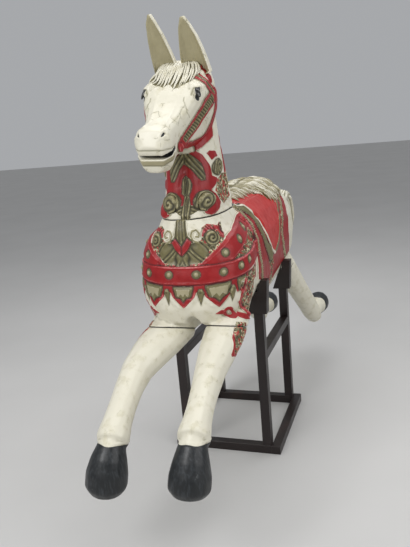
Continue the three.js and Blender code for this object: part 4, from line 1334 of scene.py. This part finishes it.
def lock_group():
    tree, inputs = new_group("locks_along_lines", ["Thickness"])
    curve = add(tree, "GeometryNodeMeshToCurve", {"Mesh": inputs["Geometry"]}).outputs[0]
    taper = add(tree, "GeometryNodeInputNamedAttribute", {"Name": "taper"}, data_type="FLOAT").outputs[0]
    ring = add(tree, "GeometryNodeCurvePrimitiveCircle", {"Resolution": 6, "Radius": 1.0}).outputs[0]
    strand = add(tree, "GeometryNodeCurveToMesh", {
        "Curve": curve, "Profile Curve": ring, "Fill Caps": True,
        "Scale": product(tree, taper, inputs["Thickness"])})
    return close_group(tree, strand.outputs[0], inputs)


LOCKS = lock_group()
print(LOCKS.name, len(LOCKS.nodes), "nodes")


def locks(name, lines, rises, shades, thickness):
    """Strands along lists of places; a rise lifts each step, and a shade of 1 is tan paint."""
    lifts = np.asarray(rises)[:, None] * MM
    places = np.concatenate([line + facing * lifts for line, facing in lines])
    starts = np.arange(len(lines)) * LOCK_STEPS
    edges = [(start + step, start + step + 1) for start in starts for step in range(LOCK_STEPS - 1)]
    mesh = bpy.data.meshes.new(name)
    mesh.from_pydata(places.tolist(), edges, [])
    for label, values in (("taper", LOCK_TAPER * len(lines)), ("tan", np.repeat(shades, LOCK_STEPS))):
        mesh.attributes.new(label, "FLOAT", "POINT").data.foreach_set("value", values)
    return grown(name, mesh, LOCKS, {"Thickness": thickness * MM, "Material": old_paint})


# %% [markdown]
# The forelock falls over the brow in pairs of pointed locks that fan out from the poll.
# %% Forelock
FORELOCK_ROOT, FORELOCK_GAP = 44, 0.62
PAIR_HALF, PAIR_STEP, FORELOCK_SWAY = 3.2, 9, 5
FORELOCK_RISES = [1.0, 3.5, 4.5, 4.5, 4.0, 3.0, 1.0]
rng = np.random.default_rng(11)
head_turns = turn_chart(neck_coat.place)
on_brow = (outside_head_at(neck_coat) < HEAD_SKIN) & (head_turns[:, 0] > 0)
hair_lines = []
for tip_along, tip_turn in FORELOCK_TIPS:
    for half in (-PAIR_HALF, PAIR_HALF):
        root = np.array([FORELOCK_ROOT + rng.uniform(-3, 3), tip_turn * FORELOCK_GAP + half])
        tip_reach = tip_along + rng.uniform(-6, 2) - (half > 0) * PAIR_STEP
        tip = np.array([tip_reach, tip_turn + half * 0.5])
        spots = root + STEPS[:, None] * (tip - root)
        spots[:, 1] += FORELOCK_SWAY * np.sin(STEPS * math.pi)
        hair_lines.append(spots_on(neck, head_turns, on_brow, spots))
forelock = locks("forelock", hair_lines, FORELOCK_RISES, np.zeros(len(hair_lines)), 3.9)

# %% [markdown]
# Fleece covers the seat in four overlapping rows, each strand slanting back as it hangs, about half
# of them tan and the rest cream.
# %% Fleece
FLEECE_ROWS, FLEECE_PITCH = (1, 11, 22, 33), 7.0
FLEECE_DROP, FLEECE_LEAN, FLEECE_TAN_SHARE = 15, 14, 0.55
FLEECE_RISES = [1.0, 3.0, 4.5, 4.5, 4.0, 3.0, 1.0]
fleece_lines, fleece_shades = [], []
for hand in (-1, 1):
    seat_points = on_barrel_hand(hand, 800, slack=2)
    for row in FLEECE_ROWS:
        starts = [(back, row + rng.uniform(-2, 2)) for back in np.arange(112, 640, FLEECE_PITCH)]
        inside = field(np.asarray(on_barrel_chart(starts)), on_barrel_chart(FLEECE)) < -3
        for back, top in np.asarray(starts)[inside]:
            drop, lean = FLEECE_DROP + rng.uniform(-3, 3), FLEECE_LEAN + rng.uniform(-4, 4)
            spots = on_barrel_chart([(back + lean * t, top + drop * t) for t in STEPS])
            fleece_lines.append(spots_on(body, body_side, seat_points, spots))
            fleece_shades.append(float(rng.random() < FLEECE_TAN_SHARE))
fleece = locks("saddle_fleece", fleece_lines, FLEECE_RISES, fleece_shades, 3.0)

# %% [markdown]
# Each eye is a glossy black dome, as of lacquered wood, set between carved lids. Its long axis
# slants across the cheek, so it looks upright from in front.
# %% Lacquered eyes
EYES = [(197, -81), (197, 81)]
EYE_LONG, EYE_HIGH, EYE_PROUD = 16, 9.5, 4.5


def black_lacquer():
    material, tree = new_material("black_lacquer_on_wood")
    place = add(tree, "ShaderNodeTexCoord").outputs["Object"]
    cloud = add(tree, "ShaderNodeTexNoise", {"Vector": place, "Scale": 180.0}).outputs[0]
    tone = colour_mix(tree, cloud, linear("#0d0d0e"), linear("#1d1a17"))
    gloss = {"Base Color": tone, "Roughness": 0.12, "Coat Weight": 0.6}
    shader = add(tree, "ShaderNodeBsdfPrincipled", gloss)
    add(tree, "ShaderNodeOutputMaterial", {"Surface": shader.outputs[0]})
    return material


eye_places, eye_facings = spots_on(neck, head_turns, on_brow, EYES)
balls = bmesh.new()
for place, facing, (_, turn) in zip(eye_places, eye_facings, EYES):
    out = Vector(facing)
    slant = Vector(NOSE + math.copysign(1, turn) * CHEEK - CROWN)
    ahead = (slant - slant.dot(out) * out).normalized()
    eye_frame = Matrix([ahead, out.cross(ahead), out]).transposed().to_4x4()
    eye_frame.translation = Vector(place)
    size = Matrix.Diagonal((EYE_LONG * MM, EYE_HIGH * MM, EYE_PROUD * MM, 1))
    bmesh.ops.create_uvsphere(balls, u_segments=28, v_segments=16, radius=1, matrix=eye_frame @ size)
bmesh.ops.recalc_face_normals(balls, faces=balls.faces)
eyes = mesh_object("eyes", [], [])
balls.to_mesh(eyes.data)
balls.free()
eyes.data.shade_smooth()
eyes.data.materials.append(black_lacquer())
print("eyes", len(eyes.data.polygons), "faces")

# %% [markdown]
# The body's even grid spends most of its faces on plain wood. They are merged there, away from
# every outline and cut, so the body stays light and its carving stays sharp. This comes after the
# studs, beads and fleece, which are placed by the grid's points.
# %% Thin out the plain wood of the body
MOST_TRIANGLES = 188000
EDGE_MARGIN, CALM, NO_GROOVE = 9, 0.35, 0.05


def thin_plain_wood(coat):
    piece = coat.piece
    nearest_edge = np.min(np.abs(np.stack(list(coat.far.values()))), axis=0)
    crest = np.empty(len(coat.place), np.float32)
    piece.data.attributes["crest"].data.foreach_get("value", crest)
    plain = np.flatnonzero((nearest_edge > EDGE_MARGIN) & (np.abs(crest) < CALM) & (coat.groove < NO_GROOVE))
    piece.vertex_groups.new(name="plain").add(plain.tolist(), 1.0, "REPLACE")
    thin = piece.modifiers.new("thin", "DECIMATE")
    thin.ratio = MOST_TRIANGLES / (2 * len(piece.data.polygons))
    thin.vertex_group = "plain"
    keep_evaluated(piece)
    piece.vertex_groups.clear()
    piece.data.calc_loop_triangles()
    print(piece.name, "thinned to", len(piece.data.loop_triangles), "triangles")


thin_plain_wood(body_coat)

# %% [markdown]
# Nothing on the horse moves, so every piece rides on the one root body.
# %% Attach every piece to the root body
for piece in horse + [studs, beads, forelock, fleece, eyes]:
    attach(piece, "root")
